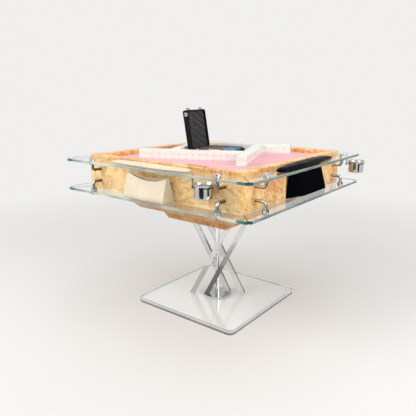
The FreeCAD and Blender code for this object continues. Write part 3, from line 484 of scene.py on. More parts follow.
def cloth_finish(name):
    """Short napped cloth with a fine weave and slight wear."""
    colour = Vector(finishes().cloth)
    cloth = new_finish(name, colour, Roughness=0.95, Sheen_Weight=0.1, Specular_IOR_Level=0.1)
    nap = speckle(cloth, 900, 3)
    wear = speckle(cloth, 5, 3)
    tone = ramp(cloth, wear, (0.35, colour * 0.95), (0.65, colour * 1.04))
    feed(cloth, "Base Color", multiplied(cloth, tone, ramp(cloth, nap, (0.3, 0.93), (0.7, 1.03))))
    raise_grain(cloth, nap, 0.35, 0.0006)
    return cloth


def leather_finish(name, colour, roughness, crease, shine):
    """Fine-grained leather with soft variation in tone and shine."""
    colour = Vector(colour)
    leather = new_finish(name, colour, Roughness=roughness, IOR=shine)
    cells = cell_distance(leather, 620)
    pores = speckle(leather, 260, 3)
    soft = speckle(leather, 14, 3)
    feed(leather, "Base Color", ramp(leather, soft, (0.3, colour * 0.9), (0.7, colour * 1.07)))
    feed(leather, "Roughness", ramp(leather, soft, (0.3, roughness * 0.85), (0.7, roughness * 1.2)))
    relief = scaled(leather, cells, 0.6, pores)
    raise_grain(leather, relief, crease, 0.0005)
    return leather


def wall_turn(number):
    """Turn of one of the four tile walls, in degrees."""
    return WALL_TURN + 90 * (number - 1)


def tile_finish(number):
    """Polished ivory resin of one wall, faintly cloudy, with small brown dots of painted shade in the gaps
    where four tiles meet.
    """
    ivory = Vector(finishes().tile)
    tile = new_finish("ivory_tile_%d" % number, ivory, Roughness=0.24, Coat_Weight=0.3, Coat_Roughness=0.08)
    place = stretched(tile, (1, 1, 1), wall_turn(number), (*WALL_CENTRE, CLOTH_LEVEL))
    axes = axes_of(tile, place)
    across = calculate(tile, "PINGPONG", plus(tile, axes["X"], -FIRST_TILE[0]), TILE_PITCH / 2)
    upward = calculate(tile, "PINGPONG", axes["Z"], TILE_LEVEL / 2)
    junction = times(tile, ramp(tile, across, (0.0016, 1), (0.0026, 0)),
                     ramp(tile, upward, (0.0014, 1), (0.0026, 0)))
    low = ramp(tile, axes["Z"], (0.034, 1), (0.036, 0))
    turn = math.radians(wall_turn(number))
    long_face = ramp(tile, facing(tile, (-math.sin(turn), math.cos(turn), 0)), (0.5, 0), (0.7, 1))
    # Painted shade: brown dots in the gaps where four tiles meet, low on the wall's long faces
    dots = times(tile, times(tile, junction, low), long_face)
    cloud = ramp(tile, speckle(tile, 40, 3), (0.3, 0.96), (0.7, 1.0))
    body = blend_colours(tile, facing_up(tile), ivory, finishes().tile_top)
    body = multiplied(tile, body, cloud)
    feed(tile, "Base Color", blend_colours(tile, dots, body, finishes().tile_gap_shade))
    feed(tile, "Roughness", ramp(tile, speckle(tile, 300, 2), (0.3, 0.18), (0.7, 0.3)))
    return tile


def case_finish(name, weave, crest_highlight):
    """Black case covering with near-upright diagonal ribs, broken up like a weave, with a painted highlight
    on the ribs' crests and painted shade in their hollows.
    """
    black = Vector(finishes().case_black)
    cover = new_finish(name, black, Roughness=0.55, IOR=1.12)
    place = stretched(cover, (1, 1, 1), CASE_TURN, CASE_PLACE)
    axes = axes_of(cover, place)
    slant = scaled(cover, axes["Z"], 0.6, axes["Y"])
    ribs = calculate(cover, "SINE", times(cover, slant, weave))
    crossing = scaled(cover, axes["Z"], -1.3, axes["Y"])
    threads = calculate(cover, "SINE", times(cover, crossing, weave * 0.6))
    relief = scaled(cover, threads, 0.6, ribs)
    level = scaled(cover, relief, 0.3, 0.5)
    uneven = plus(cover, level, times(cover, speckle(cover, 60, 2), 0.3))
    # Painted highlight on the ribs' crests and painted shade in their hollows, following the relief
    tone = ramp(cover, uneven, (0.5, black * 0.3), (0.75, black * 3), (1.0, black * crest_highlight))
    feed(cover, "Base Color", tone)
    raise_grain(cover, relief, 0.5, 0.001)
    return cover


def chip_finish(name, stacks, spot, row_place):
    """Moulded chips of one row: a colour for each stack and pale blocks round their edges."""
    chips = new_finish(name, stacks[0], Roughness=0.35, Coat_Weight=0.2, Coat_Roughness=0.2)
    place = stretched(chips, (1, 1, 1), CASE_TURN, row_place)
    axes = axes_of(chips, place)
    # Radians per metre along a row: one wave for each chip, and one for each group of five
    chip_waves, group_waves = 1975.0, 395.0
    along = scaled(chips, axes["X"], 5.0, 0.5)
    body = ramp(chips, along, (0.0, stacks[0]), (0.34, stacks[0]), (0.35, stacks[1]), (0.65, stacks[1]),
                (0.66, stacks[2]), (1.0, stacks[2]))
    angle = calculate(chips, "ARCTAN2", axes["Z"], axes["Y"])
    waves = calculate(chips, "COSINE", times(chips, angle, 8.0))
    shift = calculate(chips, "SINE", times(chips, axes["X"], chip_waves))
    mask = ramp(chips, scaled(chips, shift, 0.3, waves), (0.55, 0), (0.62, 1))
    pattern = blend_colours(chips, mask, body, spot)
    groups = calculate(chips, "SINE", times(chips, axes["X"], group_waves))
    dark = ramp(chips, scaled(chips, groups, 0.5, 0.5), (0.5, 0), (0.7, 0.85))
    feed(chips, "Base Color", blend_colours(chips, dark, pattern, (0.012, 0.012, 0.014)))
    return chips


def plastic_finish(name, colour, roughness):
    """Moulded plastic or paint with fine texture."""
    plastic = new_finish(name, colour, Roughness=roughness)
    fine = speckle(plastic, 400, 2)
    colour = Vector(colour)
    tone = ramp(plastic, speckle(plastic, 12, 3), (0.3, colour * 0.9), (0.7, colour * 1.08))
    feed(plastic, "Base Color", tone)
    raise_grain(plastic, fine, 0.2, 0.0003)
    return plastic


def choose_nothing():
    """Leave edit mode and deselect everything."""
    if bpy.context.mode != "OBJECT":
        bpy.ops.object.mode_set(mode="OBJECT")
    bpy.ops.object.select_all(action="DESELECT")


def alone(thing):
    """Select one object and nothing else, in object mode."""
    choose_nothing()
    thing.select_set(True)
    bpy.context.view_layer.objects.active = thing


def edit(thing, kind="FACE"):
    """Go into edit mode on one object, with all of it selected."""
    alone(thing)
    bpy.ops.object.mode_set(mode="EDIT")
    bpy.ops.mesh.select_mode(type=kind)
    bpy.ops.mesh.select_all(action="SELECT")


def let_go(kind):
    """In edit mode, deselect all and go to object mode, where faces or edges can be picked."""
    bpy.ops.mesh.select_mode(type=kind)
    bpy.ops.mesh.select_all(action="DESELECT")
    bpy.ops.object.mode_set(mode="OBJECT")


def pick_faces(thing, wanted):
    """In edit mode, select the faces whose centre and normal pass a test."""
    let_go("FACE")
    for face in thing.data.polygons:
        face.select = wanted(face.center, face.normal)
    bpy.ops.object.mode_set(mode="EDIT")


def pick_edges(thing, wanted):
    """In edit mode, select the edges whose two ends pass a test."""
    let_go("EDGE")
    points = thing.data.vertices
    for line in thing.data.edges:
        line.select = wanted(points[line.vertices[0]].co, points[line.vertices[1]].co)
    bpy.ops.object.mode_set(mode="EDIT")


def bevel(width, segments=2, profile=0.5):
    """In edit mode, round the selected edges."""
    bpy.ops.mesh.bevel(offset=width, segments=segments, profile=profile, affect="EDGES")


def bevel_all(thing, width, profile=0.5):
    """Go into edit mode and round every edge of a piece."""
    edit(thing, "EDGE")
    bevel(width, profile=profile)


def push(step):
    """In edit mode, extrude the selection by a step."""
    bpy.ops.mesh.extrude_region_move(TRANSFORM_OT_translate={"value": step})


def turn_outwards(thing):
    """Turn a closed piece's faces outwards."""
    edit(thing)
    bpy.ops.mesh.normals_make_consistent(inside=False)


def settle(thing, matrix=None):
    """Put an object's place, turn and size into its mesh."""
    alone(thing)
    if matrix:
        thing.matrix_world = matrix @ thing.matrix_world
    bpy.ops.object.transform_apply(location=True, rotation=True, scale=True)
    return thing


def new_object(name, data):
    """Put a new object into the scene."""
    thing = bpy.data.objects.new(name, data)
    bpy.context.scene.collection.objects.link(thing)
    return thing


def named(name):
    """Name the object just made."""
    thing = bpy.context.active_object
    thing.name = name
    thing.data.name = name
    return thing


def box_piece(name, low, high):
    """Add a cube between two corners."""
    low, high = Vector(low), Vector(high)
    choose_nothing()
    bpy.ops.mesh.primitive_cube_add(size=1, location=(low + high) / 2)
    thing = named(name)
    thing.scale = high - low
    return settle(thing)


def modify(thing, kind, **settings):
    """Add a modifier and apply it."""
    alone(thing)
    modifier = thing.modifiers.new(kind.title(), kind)
    for name, setting in settings.items():
        setattr(modifier, name, setting)
    bpy.ops.object.modifier_apply(modifier=modifier.name)


def repeat(thing, count, step):
    """Repeat a piece at equal steps."""
    modify(thing, "ARRAY", count=count, use_relative_offset=False, use_constant_offset=True,
           constant_offset_displace=step)


def copied(thing, name, matrix=None):
    """Copy an object with its own mesh and put the copy in place."""
    alone(thing)
    bpy.ops.object.duplicate()
    return settle(named(name), matrix)


def smooth(thing, angle):
    """Shade a piece smooth, with sharp edges kept."""
    alone(thing)
    bpy.ops.object.shade_smooth_by_angle(angle=math.radians(angle))


def hand_over(thing, material, body, slot, *stands_for):
    """Give a finished piece its material and its body, and hide the nodes it stands for; slot is not used."""
    thing.data.materials.clear()
    thing.data.materials.append(material)
    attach(thing, body)
    if stands_for:
        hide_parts(*stands_for)


def place_piece(thing, matrix, material, body, slot, *stands_for, angle=32):
    """Put a finished piece in place, shade it smooth and hand it over."""
    settle(thing, matrix)
    smooth(thing, angle)
    hand_over(thing, material, body, slot, *stands_for)


def dress(material, *names):
    """Give carried-over nodes a material."""
    for name in names:
        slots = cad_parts[name].data.materials
        slots.clear()
        slots.append(material)


def traced(name, points):
    """Draw a line by extruding one point step by step, and stay in edit mode."""
    choose_nothing()
    bpy.ops.mesh.primitive_plane_add(size=0.001, location=points[0])
    thing = settle(named(name))
    edit(thing, "VERT")
    bpy.ops.mesh.merge(type="CENTER")
    for before, after in zip(points, points[1:]):
        push(Vector(after) - Vector(before))
    return thing


def spun(name, profile, centre, steps):
    """Spin pairs of radius and height round an upright axis into a closed form."""
    thing = traced(name, [(centre[0] + radius, centre[1], height) for radius, height in profile])
    bpy.ops.mesh.select_all(action="SELECT")
    bpy.ops.mesh.spin(steps=steps, angle=math.tau, center=(centre[0], centre[1], 0), axis=(0, 0, 1))
    bpy.ops.mesh.select_all(action="SELECT")
    bpy.ops.mesh.remove_doubles(threshold=MERGE_GAP)
    bpy.ops.mesh.dissolve_degenerate(threshold=0.000005)
    turn_outwards(thing)
    return thing


def node_copy(node, name):
    """Copy a node's mesh into a new piece, with its loose triangles merged."""
    thing = new_object(name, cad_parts[node].data.copy())
    edit(thing, "VERT")
    bpy.ops.mesh.remove_doubles(threshold=MERGE_GAP)
    return thing


def on_side(side, along, out, height, turn):
    """Matrix of a place on one side of the table."""
    round_table = Matrix.Rotation(math.radians(SIDES[side]), 4, "Z")
    place = Matrix.Translation((along, -out, height))
    return round_table @ place @ Matrix.Rotation(math.radians(turn), 4, "Z")


def case_matrix():
    """Matrix of the chip case's tray."""
    return Matrix.Translation(CASE_PLACE) @ Matrix.Rotation(math.radians(CASE_TURN), 4, "Z")


def lid_matrix():
    """Matrix of the lid, from shut about its hinge line to open."""
    hinge = Matrix.Translation((-(TRAY_HALF_U + HINGE_OFFSET), 0, TRAY_HEIGHT))
    return case_matrix() @ hinge @ Matrix.Rotation(math.radians(LID_OPEN), 4, Vector((0, -1, 0)))


def swell(piece, pressure, reach):
    """Puff up a closed form with a short cloth simulation, holding each point's travel to a reach."""
    starts = [vertex.co.copy() for vertex in piece.data.vertices]
    floor = min(start.z for start in starts)
    modifier = piece.modifiers.new("Swell", "CLOTH")
    modifier.settings.use_pressure = True
    modifier.settings.uniform_pressure_force = pressure
    modifier.settings.effector_weights.gravity = 0
    modifier.settings.quality = 5
    scene = bpy.context.scene
    last_frame = 20
    for number in range(1, last_frame + 1):
        scene.frame_set(number)
    swollen = piece.evaluated_get(bpy.context.evaluated_depsgraph_get()).data
    ends = [vertex.co.copy() for vertex in swollen.vertices]
    piece.modifiers.remove(modifier)
    scene.frame_set(1)
    for vertex, start, end in zip(piece.data.vertices, starts, ends):
        travel = end - start
        if travel.length > reach:
            travel *= reach / travel.length
        vertex.co = start + travel
        vertex.co.z = max(vertex.co.z, floor)


def lens_outline(half_length, half_width, tip_share):
    """Points round a pad: two long bowed sides and two short rounded ends."""
    side_steps, cap_steps = 44, 8
    tip = tip_share * half_width
    end = half_length - tip / 2
    bow = half_width - tip
    radius = (end ** 2 + bow ** 2) / (2 * bow)
    half = []
    for step in range(side_steps):
        x = -end + 2 * end * step / side_steps
        half.append((x, -half_width + radius - math.sqrt(radius ** 2 - x ** 2)))
    span = math.asin(0.8)
    cap = 1.25 * tip
    for step in range(cap_steps):
        angle = -span + 2 * span * step / cap_steps
        half.append((half_length - cap + cap * math.cos(angle), cap * math.sin(angle)))
    return half + [(-x, -y) for x, y in half]


def piping(name, outline, height, radius, matrix):
    """Lay a thin round welt along a closed outline."""
    choose_nothing()
    bpy.ops.mesh.primitive_circle_add(vertices=len(outline), radius=0.1)
    thing = named(name)
    for vertex, (x, y) in zip(thing.data.vertices, outline):
        vertex.co = (x, y, height)
    bpy.ops.object.convert(target="CURVE")
    thing.data.bevel_depth = radius
    thing.data.bevel_resolution = 2
    bpy.ops.object.convert(target="MESH")
    settle(thing, matrix)
    smooth(thing, 60)
    return thing


# Each kind of pad: half length, half width, height, tip share, place along and out, and turn
PAD_FORMS = {
    "flat": (0.231, 0.038, 0.012, 0.62, 0.0005, 0.4895, -1.5),
    "low": (0.231, 0.038, 0.0076, 0.62, 0.0005, 0.4895, -1.5),
    "puffy": (0.272, 0.036, 0.017, 0.58, -0.004, 0.491, 3.2),
}


def slim_end(place, half_length):
    """Lengthen the stuffed pad's near end a little and slim its far end."""
    if place.x < 0:
        place.x *= 1.035
    else:
        slim = min(1.0, place.x / half_length) ** 2
        place.y *= 1 - 0.3 * slim
        place.z *= 1 - 0.45 * slim


def make_pad(side, leather, slot):
    """One hand pad: a stuffed leather lens with piping round its edge."""
    kind = {"right": "puffy", "left": "low"}.get(side, "flat")
    puffy = kind == "puffy"
    half_length, half_width, height, tip_share, along, out, turn = PAD_FORMS[kind]
    pad = node_copy("pad_" + side, "hand_pad_" + side)
    matrix = on_side(side, along, out, PAD_LEVEL, turn)
    inward = matrix.inverted()
    edit(pad, "VERT")
    centre = matrix @ Vector((0, 0, height / 2))
    shrink = 0.98
    bpy.ops.transform.resize(value=(shrink, 1.0 if puffy else shrink, shrink), center_override=centre)
    modify(pad, "REMESH", mode="VOXEL", voxel_size=0.0038)
    swell(pad, shapes().pad_pressure, shapes().pad_reach * (1 if puffy else 0.4))
    for vertex in pad.data.vertices:
        place = inward @ vertex.co
        fold = noise.noise(Vector((place.x * 24, place.y * 60, 1.7)))
        fold += 0.6 * noise.noise(Vector((place.x * 70, place.y * 30, 9.1)))
        place.z += max(0, place.z / height) * fold * (0.0011 if puffy else 0.0004)
        if kind == "low":
            place.z *= 0.62
        if puffy:
            slim_end(place, half_length)
        place.z = max(0.0002, place.z)
        vertex.co = matrix @ place
    modify(pad, "SMOOTH", factor=0.5, iterations=3)
    modify(pad, "SUBSURF", levels=1, render_levels=1)
    alone(pad)
    bpy.ops.object.shade_smooth()
    hand_over(pad, leather, "pad_" + side, slot, "pad_" + side)
    inset = 0.0008
    outline = lens_outline(half_length - inset, half_width - inset, tip_share)
    level = height * (0.42 if puffy else 0.62)
    welt = piping("hand_pad_welt_" + side, outline, level, shapes().seam_width, matrix)
    if puffy:
        for vertex in welt.data.vertices:
            place = inward @ vertex.co
            slim_end(place, half_length)
            vertex.co = matrix @ place
    hand_over(welt, leather, "pad_" + side, slot)


# Each kind of pouch: half length, depth, height, slant of its one end, dips of back and front lip, place
POUCH_FORMS = {
    "wide": (0.118, 0.068, 0.104, 0.0, 0.013, 0.023, -0.016),
    "slim": (0.165, 0.036, 0.115, 0.1, 0.005, 0.008, 0.046),
}


def make_pouch(side, leather, slot):
    """One open leather pouch: a soft shell with a wide foot, a folded end and a mouth that dips."""
    wide = side in ("front", "back")
    half_length, depth, height, gusset, back_dip, front_dip, along = POUCH_FORMS["wide" if wide else "slim"]
    mouth = 0.013
    pouch = box_piece("pouch_shell_" + side, (-1, -1, 0), (1, 1, 1))
    edit(pouch)
    pick_faces(pouch, lambda centre, normal: normal.z > 0.9)
    bpy.ops.mesh.delete(type="ONLY_FACE")
    bpy.ops.mesh.select_all(action="SELECT")
    bpy.ops.mesh.subdivide(number_cuts=23)
    bpy.ops.object.mode_set(mode="OBJECT")
    for vertex in pouch.data.vertices:
        s, t, h = vertex.co
        closing = max(0.0, (h - 0.15) / 0.85)
        half_depth = depth / 2 + (mouth / 2 - depth / 2) * closing
        x, y = s * half_length, t * half_depth
        slant = gusset * (1 - 0.5 * closing) * (1 - t) / 2
        if s < 0:
            x += slant * -s
        elif not wide:
            x -= shapes().pouch_taper * h * s
        if s > 0.999 and h > 0.05:
            x -= shapes().pouch_pleat * (1 - abs(t)) * min(1.0, h * 1.4)
        dip = back_dip + (front_dip - back_dip) * (1 - t) / 2
        bow = max(0.0, 1 - ((s - 0.12) / 0.98) ** 2)
        z = h * (height - dip * bow)
        if abs(t) > 0.999:
            wave = noise.noise(Vector((x * 14, h * 2.2, 3.1 if y > 0 else 7.7)))
            ripple = noise.noise(Vector((x * 40, h * 5.0, 5.3 if y > 0 else 2.9)))
            y += (0.0016 * wave + 0.0006 * ripple) * math.sin(math.pi * min(1.0, h + 0.1)) * (1 - s ** 4)
            y += math.copysign(0.0026, y) * math.sin(math.pi * h * 0.9) * (1 - s ** 2)
            y += math.copysign(shapes().pouch_gape, y) * h ** 6 * math.exp(-((s - 0.3) / 0.42) ** 2)
        vertex.co = (x, y, z + 0.0006)
    modify(pouch, "SOLIDIFY", thickness=shapes().pouch_skin, offset=-1)
    turn_outwards(pouch)
    modify(pouch, "BEVEL", width=0.0012, segments=2, angle_limit=math.radians(50))
    matrix = on_side(side, along, POUCH_BACK + depth / 2, POUCH_LEVEL, 0)
    place_piece(pouch, matrix, leather, "pouch_" + side, slot, "pouch_" + side, angle=46)


def make_tile_walls():
    """Four walls of bevelled tiles, fifteen stacks of two each, laid in a turned pinwheel."""
    first = (*FIRST_TILE, CLOTH_LEVEL)
    wall = box_piece("tiles_1", first, [low + size for low, size in zip(first, TILE_SIZE)])
    bevel_all(wall, shapes().tile_round, 0.6)
    repeat(wall, TILES_ALONG, (TILE_PITCH, 0, 0))
    repeat(wall, 2, (0, 0, TILE_LEVEL))
    smooth(wall, 40)
    walls = [wall] + [copied(wall, "tiles_%d" % number) for number in range(2, 5)]
    chance = random.Random(7)
    wobble, slip = shapes().tile_wobble, 0.0001
    for number, piece in enumerate(walls, 1):
        shifts = {}
        for vertex in piece.data.vertices:
            stack = int((vertex.co.x - FIRST_TILE[0] + 0.0001) / TILE_PITCH)
            key = (stack, vertex.co.z > CLOTH_LEVEL + TILE_SIZE[2])
            if key not in shifts:
                shifts[key] = (chance.uniform(-1, 1) * wobble, chance.uniform(-1, 1) * slip)
            vertex.co.y += shifts[key][0]
            vertex.co.x += shifts[key][1]
        turn = Matrix.Rotation(math.radians(wall_turn(number)), 4, "Z")
        settle(piece, Matrix.Translation((*WALL_CENTRE, 0)) @ turn)
        hand_over(piece, tile_finish(number), "wall_%d" % number, "ivory_tile", "tile_wall_%d" % number)


def make_cups(steel):
    """Four flared steel cups with a rolled lip and a drawn foot."""
    profile = [(0, 0.674), (0.026, 0.674), (0.0285, 0.6734), (0.0322, 0.6737), (0.0351, 0.6752),
               (0.0368, 0.6775), (0.0375, 0.6805), (0.0375, 0.7), (0.0375, 0.7222), (0.0378, 0.724),
               (0.0388, 0.7266), (0.0402, 0.7293), (0.0417, 0.7317), (0.0425, 0.7327), (0.043, 0.7333),
               (0.0429, 0.7338), (0.0424, 0.734), (0.0416, 0.7336), (0.0405, 0.732), (0.0391, 0.7295),
               (0.0377, 0.7267), (0.0366, 0.7239), (0.0363, 0.722), (0.0363, 0.7), (0.0363, 0.6813),
               (0.0356, 0.6782), (0.0339, 0.6762), (0.0312, 0.6752), (0, 0.6752)]
    cup = spun("steel_cup_front", profile, CUP_PLACES["front"], shapes().cup_steps)
    smooth(cup, 50)
    start = Vector((*CUP_PLACES["front"], 0))
    for side, place in CUP_PLACES.items():
        piece = cup
        if side != "front":
            piece = copied(cup, "steel_cup_" + side, Matrix.Translation(Vector((*place, 0)) - start))
        hand_over(piece, steel, "cup_" + side, "cup_steel", "cup_" + side)


def rounded_shell(name, low, high, corner, edge):
    """A box with round upright corners and softened edges."""
    shell = box_piece(name, low, high)
    edit(shell, "EDGE")
    pick_edges(shell, lambda a, b: abs(a.z - b.z) > 0.001)
    bevel(corner, 5)
    pick_edges(shell, lambda a, b: abs(a.z - b.z) < 0.0001)
    bevel(edge)
    return shell


def hollow_out(shell, direction, wall, depth):
    """In edit mode, inset the large face that looks up or down and sink it."""
    pick_faces(shell, lambda centre, normal: normal.z * direction > 0.99)
    bpy.ops.mesh.inset(thickness=wall, depth=0)
    push((0, 0, -direction * depth))


def make_tray(leather, metal, lining):
    """The case's tray, with rails between its rows and metal corners."""
    tray = rounded_shell("case_tray_shell", (-TRAY_HALF_U, -TRAY_HALF_V, 0),
                         (TRAY_HALF_U, TRAY_HALF_V, TRAY_HEIGHT), 0.008, 0.0009)
    hollow_out(tray, 1, 0.0031, 0.0267)
    place_piece(tray, case_matrix(), leather, "chip_case", "case_leather", "case_tray")
    rail = box_piece("case_rail", (-ROW_HALF, -0.0011, 0.004), (ROW_HALF, 0.0011, 0.0165))
    edit(rail, "EDGE")
    pick_edges(rail, lambda a, b: a.z > 0.016 and b.z > 0.016)
    bevel(0.001, 3)
    repeat(rail, 4, (0, ROW_PITCH, 0))
    matrix = case_matrix() @ Matrix.Translation((0, -1.5 * ROW_PITCH, 0))
    place_piece(rail, matrix, lining, "chip_case", "case_leather")
    make_tray_corners(metal)


def make_tray_corners(metal):
    """Thin metal caps round the tray's four upright corners."""
    grow = Vector((0.0005, 0.0005, 0.0002))
    low = Vector((-TRAY_HALF_U, -TRAY_HALF_V, 0)) - grow
    high = Vector((TRAY_HALF_U, TRAY_HALF_V, 0.022)) + grow
    caps = rounded_shell("case_tray_corners", low, high, 0.0085, 0.0011)
    centre = (low + high) / 2
    for axis in (0, 1):
        for way in (-1, 1):
            place = centre.copy()
            place[axis] += way * ((high - low)[axis] / 2 - CORNER_ARM)
            normal = Vector((0, 0, 0))
            normal[axis] = 1
            bpy.ops.mesh.select_all(action="SELECT")
            bpy.ops.mesh.bisect(plane_co=place, plane_no=normal)
    reach = (high - low) / 2 - Vector((CORNER_ARM, CORNER_ARM, 0))

    def inside(spot, normal):
        away = spot - centre
        return abs(away.x) < reach.x or abs(away.y) < reach.y or abs(normal.z) > 0.99

    pick_faces(caps, inside)
    bpy.ops.mesh.delete(type="FACE")
    place_piece(caps, case_matrix(), metal, "chip_case", "case_metal")


def make_lid(leather, metal, lining):
    """The open lid: rounded shell with a recess, quilted lining and fittings."""
    x0, x1 = HINGE_OFFSET, HINGE_OFFSET + 2 * TRAY_HALF_U
    z0, z1 = 0.0003, 0.0003 + LID_THICK
    lid = rounded_shell("case_lid_shell", (x0, -TRAY_HALF_V, z0), (x1, TRAY_HALF_V, z1), 0.013, 0.0015)
    hollow_out(lid, -1, 0.0028, 0.0136)
    place_piece(lid, lid_matrix(), leather, "lid", "case_leather", "case_lid")
    choose_nothing()
    bpy.ops.mesh.primitive_grid_add(x_subdivisions=90, y_subdivisions=96, size=1,
                                    location=((x0 + x1) / 2, 0, z0 + 0.0114))
    quilt = named("case_lid_quilt")
    margin = 0.0042
    quilt.scale = (2 * TRAY_HALF_U - 2 * margin, 2 * TRAY_HALF_V - 2 * margin, 1)
    settle(quilt)
    for vertex in quilt.data.vertices:
        u, v = vertex.co.x - (x0 + x1) / 2, vertex.co.y
        one = math.sin((v + 0.28 * u) * math.pi / 0.0155)
        two = math.sin((v - 0.62 * u) * math.pi / 0.021)
        puff = (abs(one) ** 0.45) * 0.62 + (abs(two) ** 0.5) * 0.38
        edge = min(1.0, (TRAY_HALF_U - margin - abs(u)) / 0.006, (TRAY_HALF_V - margin - abs(v)) / 0.006)
        vertex.co.z -= 0.0019 * puff * max(0.0, edge) ** 0.5 - 0.0008
    modify(quilt, "SOLIDIFY", thickness=0.001, offset=1)
    turn_outwards(quilt)
    place_piece(quilt, lid_matrix(), lining, "lid", "case_leather", angle=60)
    make_fittings(metal, x1, z0)


def make_fittings(metal, x1, z0):
    """Two hook clasps and a buckle on the lid, and a pale tab on the tray's side."""
    mid = z0 + LID_THICK / 2
    pair = []
    for end, place in (("far", 0.072), ("near", -0.072)):
        clasp = box_piece("case_clasp_" + end, (x1, place - 0.02, mid - 0.0045),
                          (x1 + 0.0032, place + 0.02, mid + 0.0045))
        bevel_all(clasp, 0.001)
        pick_faces(clasp, lambda spot, normal: normal.x > 0.99)
        bpy.ops.mesh.inset(thickness=0.0016, depth=0.0)
        push((0.0058, 0, 0))
        bpy.ops.mesh.inset(thickness=0.0009, depth=-0.0008)
        choose_nothing()
        bpy.ops.mesh.primitive_cylinder_add(vertices=20, radius=0.0022, depth=0.036,
                                            location=(x1 + 0.0095, place, mid),
                                            rotation=(math.pi / 2, 0, 0))
        roller = named("case_roller_" + end)
        bevel_all(roller, 0.0004)
        settle(roller)
        pair += [clasp, roller]
    alone(pair[0])
    for piece in pair:
        piece.select_set(True)
    bpy.ops.object.join()
    place_piece(named("case_hook_clasps"), lid_matrix(), metal, "lid", "case_metal", "case_clasps")
    buckle = box_piece("case_buckle", (x1 - 0.03, -TRAY_HALF_V - 0.0032, mid - 0.012),
                       (x1 - 0.013, -TRAY_HALF_V, mid + 0.004))
    bevel_all(buckle, 0.0011)
    pick_faces(buckle, lambda spot, normal: normal.y < -0.99)
    bpy.ops.mesh.inset(thickness=0.0022, depth=-0.0014)
    place_piece(buckle, lid_matrix(), metal, "lid", "case_metal")
    tab = box_piece("case_tab", (-0.0848, -0.1009, 0.016), (-0.0792, -0.0998, 0.0405))
    edit(tab, "EDGE")
    pick_edges(tab, lambda a, b: abs(a.y - b.y) > 0.0005 and a.z > 0.03)
    bevel(0.002, 3)
    pale = plastic_finish("case_tab_plastic", (0.85, 0.84, 0.8), 0.4)
    place_piece(tab, case_matrix(), pale, "chip_case", "case_metal")


def make_chips():
    """Five rows of round chips lying on their edges, each chip bevelled."""
    black = (0.012, 0.013, 0.016)
    tones = (
        ("black_and_pale_chips", (black, (0.8, 0.5, 0.28), black), (0.35, 0.08, 0.03)),
        ("light_blue_chips", ((0.1, 0.14, 0.18), black, (0.1, 0.45, 0.68)), (0.25, 0.35, 0.42)),
        ("red_and_blue_chips", ((0.45, 0.02, 0.015), (0.6, 0.06, 0.02), (0.05, 0.36, 0.62)),
         (0.1, 0.02, 0.02)),
        ("grey_chips", (black, black, (0.06, 0.2, 0.3)), (0.16, 0.16, 0.17)),
        ("navy_chips", ((0.01, 0.016, 0.04), black, (0.03, 0.04, 0.06)), (0.1, 0.11, 0.14)),
    )
    choose_nothing()
    bpy.ops.mesh.primitive_cylinder_add(vertices=20, radius=0.0183, depth=CHIP_THICK,
                                        rotation=(0, math.pi / 2, 0))
    row = settle(named("chips_1"))
    edit(row, "EDGE")
    pick_edges(row, lambda a, b: abs(a.x - b.x) < 0.0001)
    bevel(0.0004, 1)
    repeat(row, STACK_CHIPS, (CHIP_PITCH, 0, 0))
    repeat(row, 3, (STACK_PITCH, 0, 0))
    smooth(row, 30)
    first_chip = 0.0016 - ROW_HALF
    rows = [row] + [copied(row, "chips_%d" % number) for number in range(2, 6)]
    for number, (piece, (name, stacks, spot)) in enumerate(zip(rows, tones)):
        middle = Vector((0, (number - 2) * ROW_PITCH, ROW_HEIGHT))
        settle(piece, case_matrix() @ Matrix.Translation(middle + Vector((first_chip, 0, 0))))
        chips = chip_finish(name, stacks, spot, case_matrix() @ middle)
        stands_for = ("case_chips",) if number == 0 else ()
        hand_over(piece, chips, "chip_case", "chip_plastic", *stands_for)


def make_cloth(fabric):
    """The playing cloth, cut for the tile lifts and the centre console, stretched over its deck."""
    cloth = node_copy("play_cloth", "playing_cloth")
    smooth(cloth, 32)
    hand_over(cloth, fabric, "table", "pink_cloth", "play_cloth")


def plain_plane(name, size, matrix, colour, strength=None):
    """A flat stage plane; with a strength it glows evenly."""
    choose_nothing()
    bpy.ops.mesh.primitive_plane_add(size=size)
    thing = settle(named(name), matrix)
    material = new_finish(name, colour, Roughness=0.9)
    if strength is not None:
        inputs = material.node_tree.nodes["Principled BSDF"].inputs
        inputs["Base Color"].default_value = (0, 0, 0, 1)
        inputs["Specular IOR Level"].default_value = 0
        inputs["Emission Color"].default_value = (*colour, 1)
        inputs["Emission Strength"].default_value = strength
    thing.data.materials.append(material)
    return thing


def seen_rays(material):
    """One for rays from the camera, from mirrors and through glass."""
    path = add_node(material, "LightPath").outputs
    seen = calculate(material, "MAXIMUM", path["Is Camera Ray"], path["Is Glossy Ray"])
    return calculate(material, "MAXIMUM", seen, path["Is Transmission Ray"])


def make_floor():
    """Pale floor that keeps the table's shadow near it and fades into the backdrop farther out."""
    floor = plain_plane("floor", 40, Matrix.Translation((0, 0, -0.0004)), studio().floor)
    material = floor.data.materials[0]
    away = vector_step(material, "LENGTH", own_place(material))
    far = ramp(material, calculate(material, "DIVIDE", away, 5.0), (0.16, 0), (0.62, 1))
    share = times(material, far, seen_rays(material))
    show_mix(material, share, add_node(material, "Emission", {"Color": (*studio().backdrop, 1)}))


def make_world():
    """Even room light, and a pale backdrop where the camera, mirrors and glass look out."""
    world = bpy.data.worlds.new("studio")
    world.use_nodes = True
    bpy.context.scene.world = world
    light = world.node_tree.nodes["Background"]
    light.inputs["Color"].default_value = (1, 0.99, 0.97, 1)
    light.inputs["Strength"].default_value = studio().world_light
    backdrop = add_node(world, "Background", {"Color": (*studio().backdrop, 1)})
    show_mix(world, seen_rays(world), backdrop, "Background", "World Output")


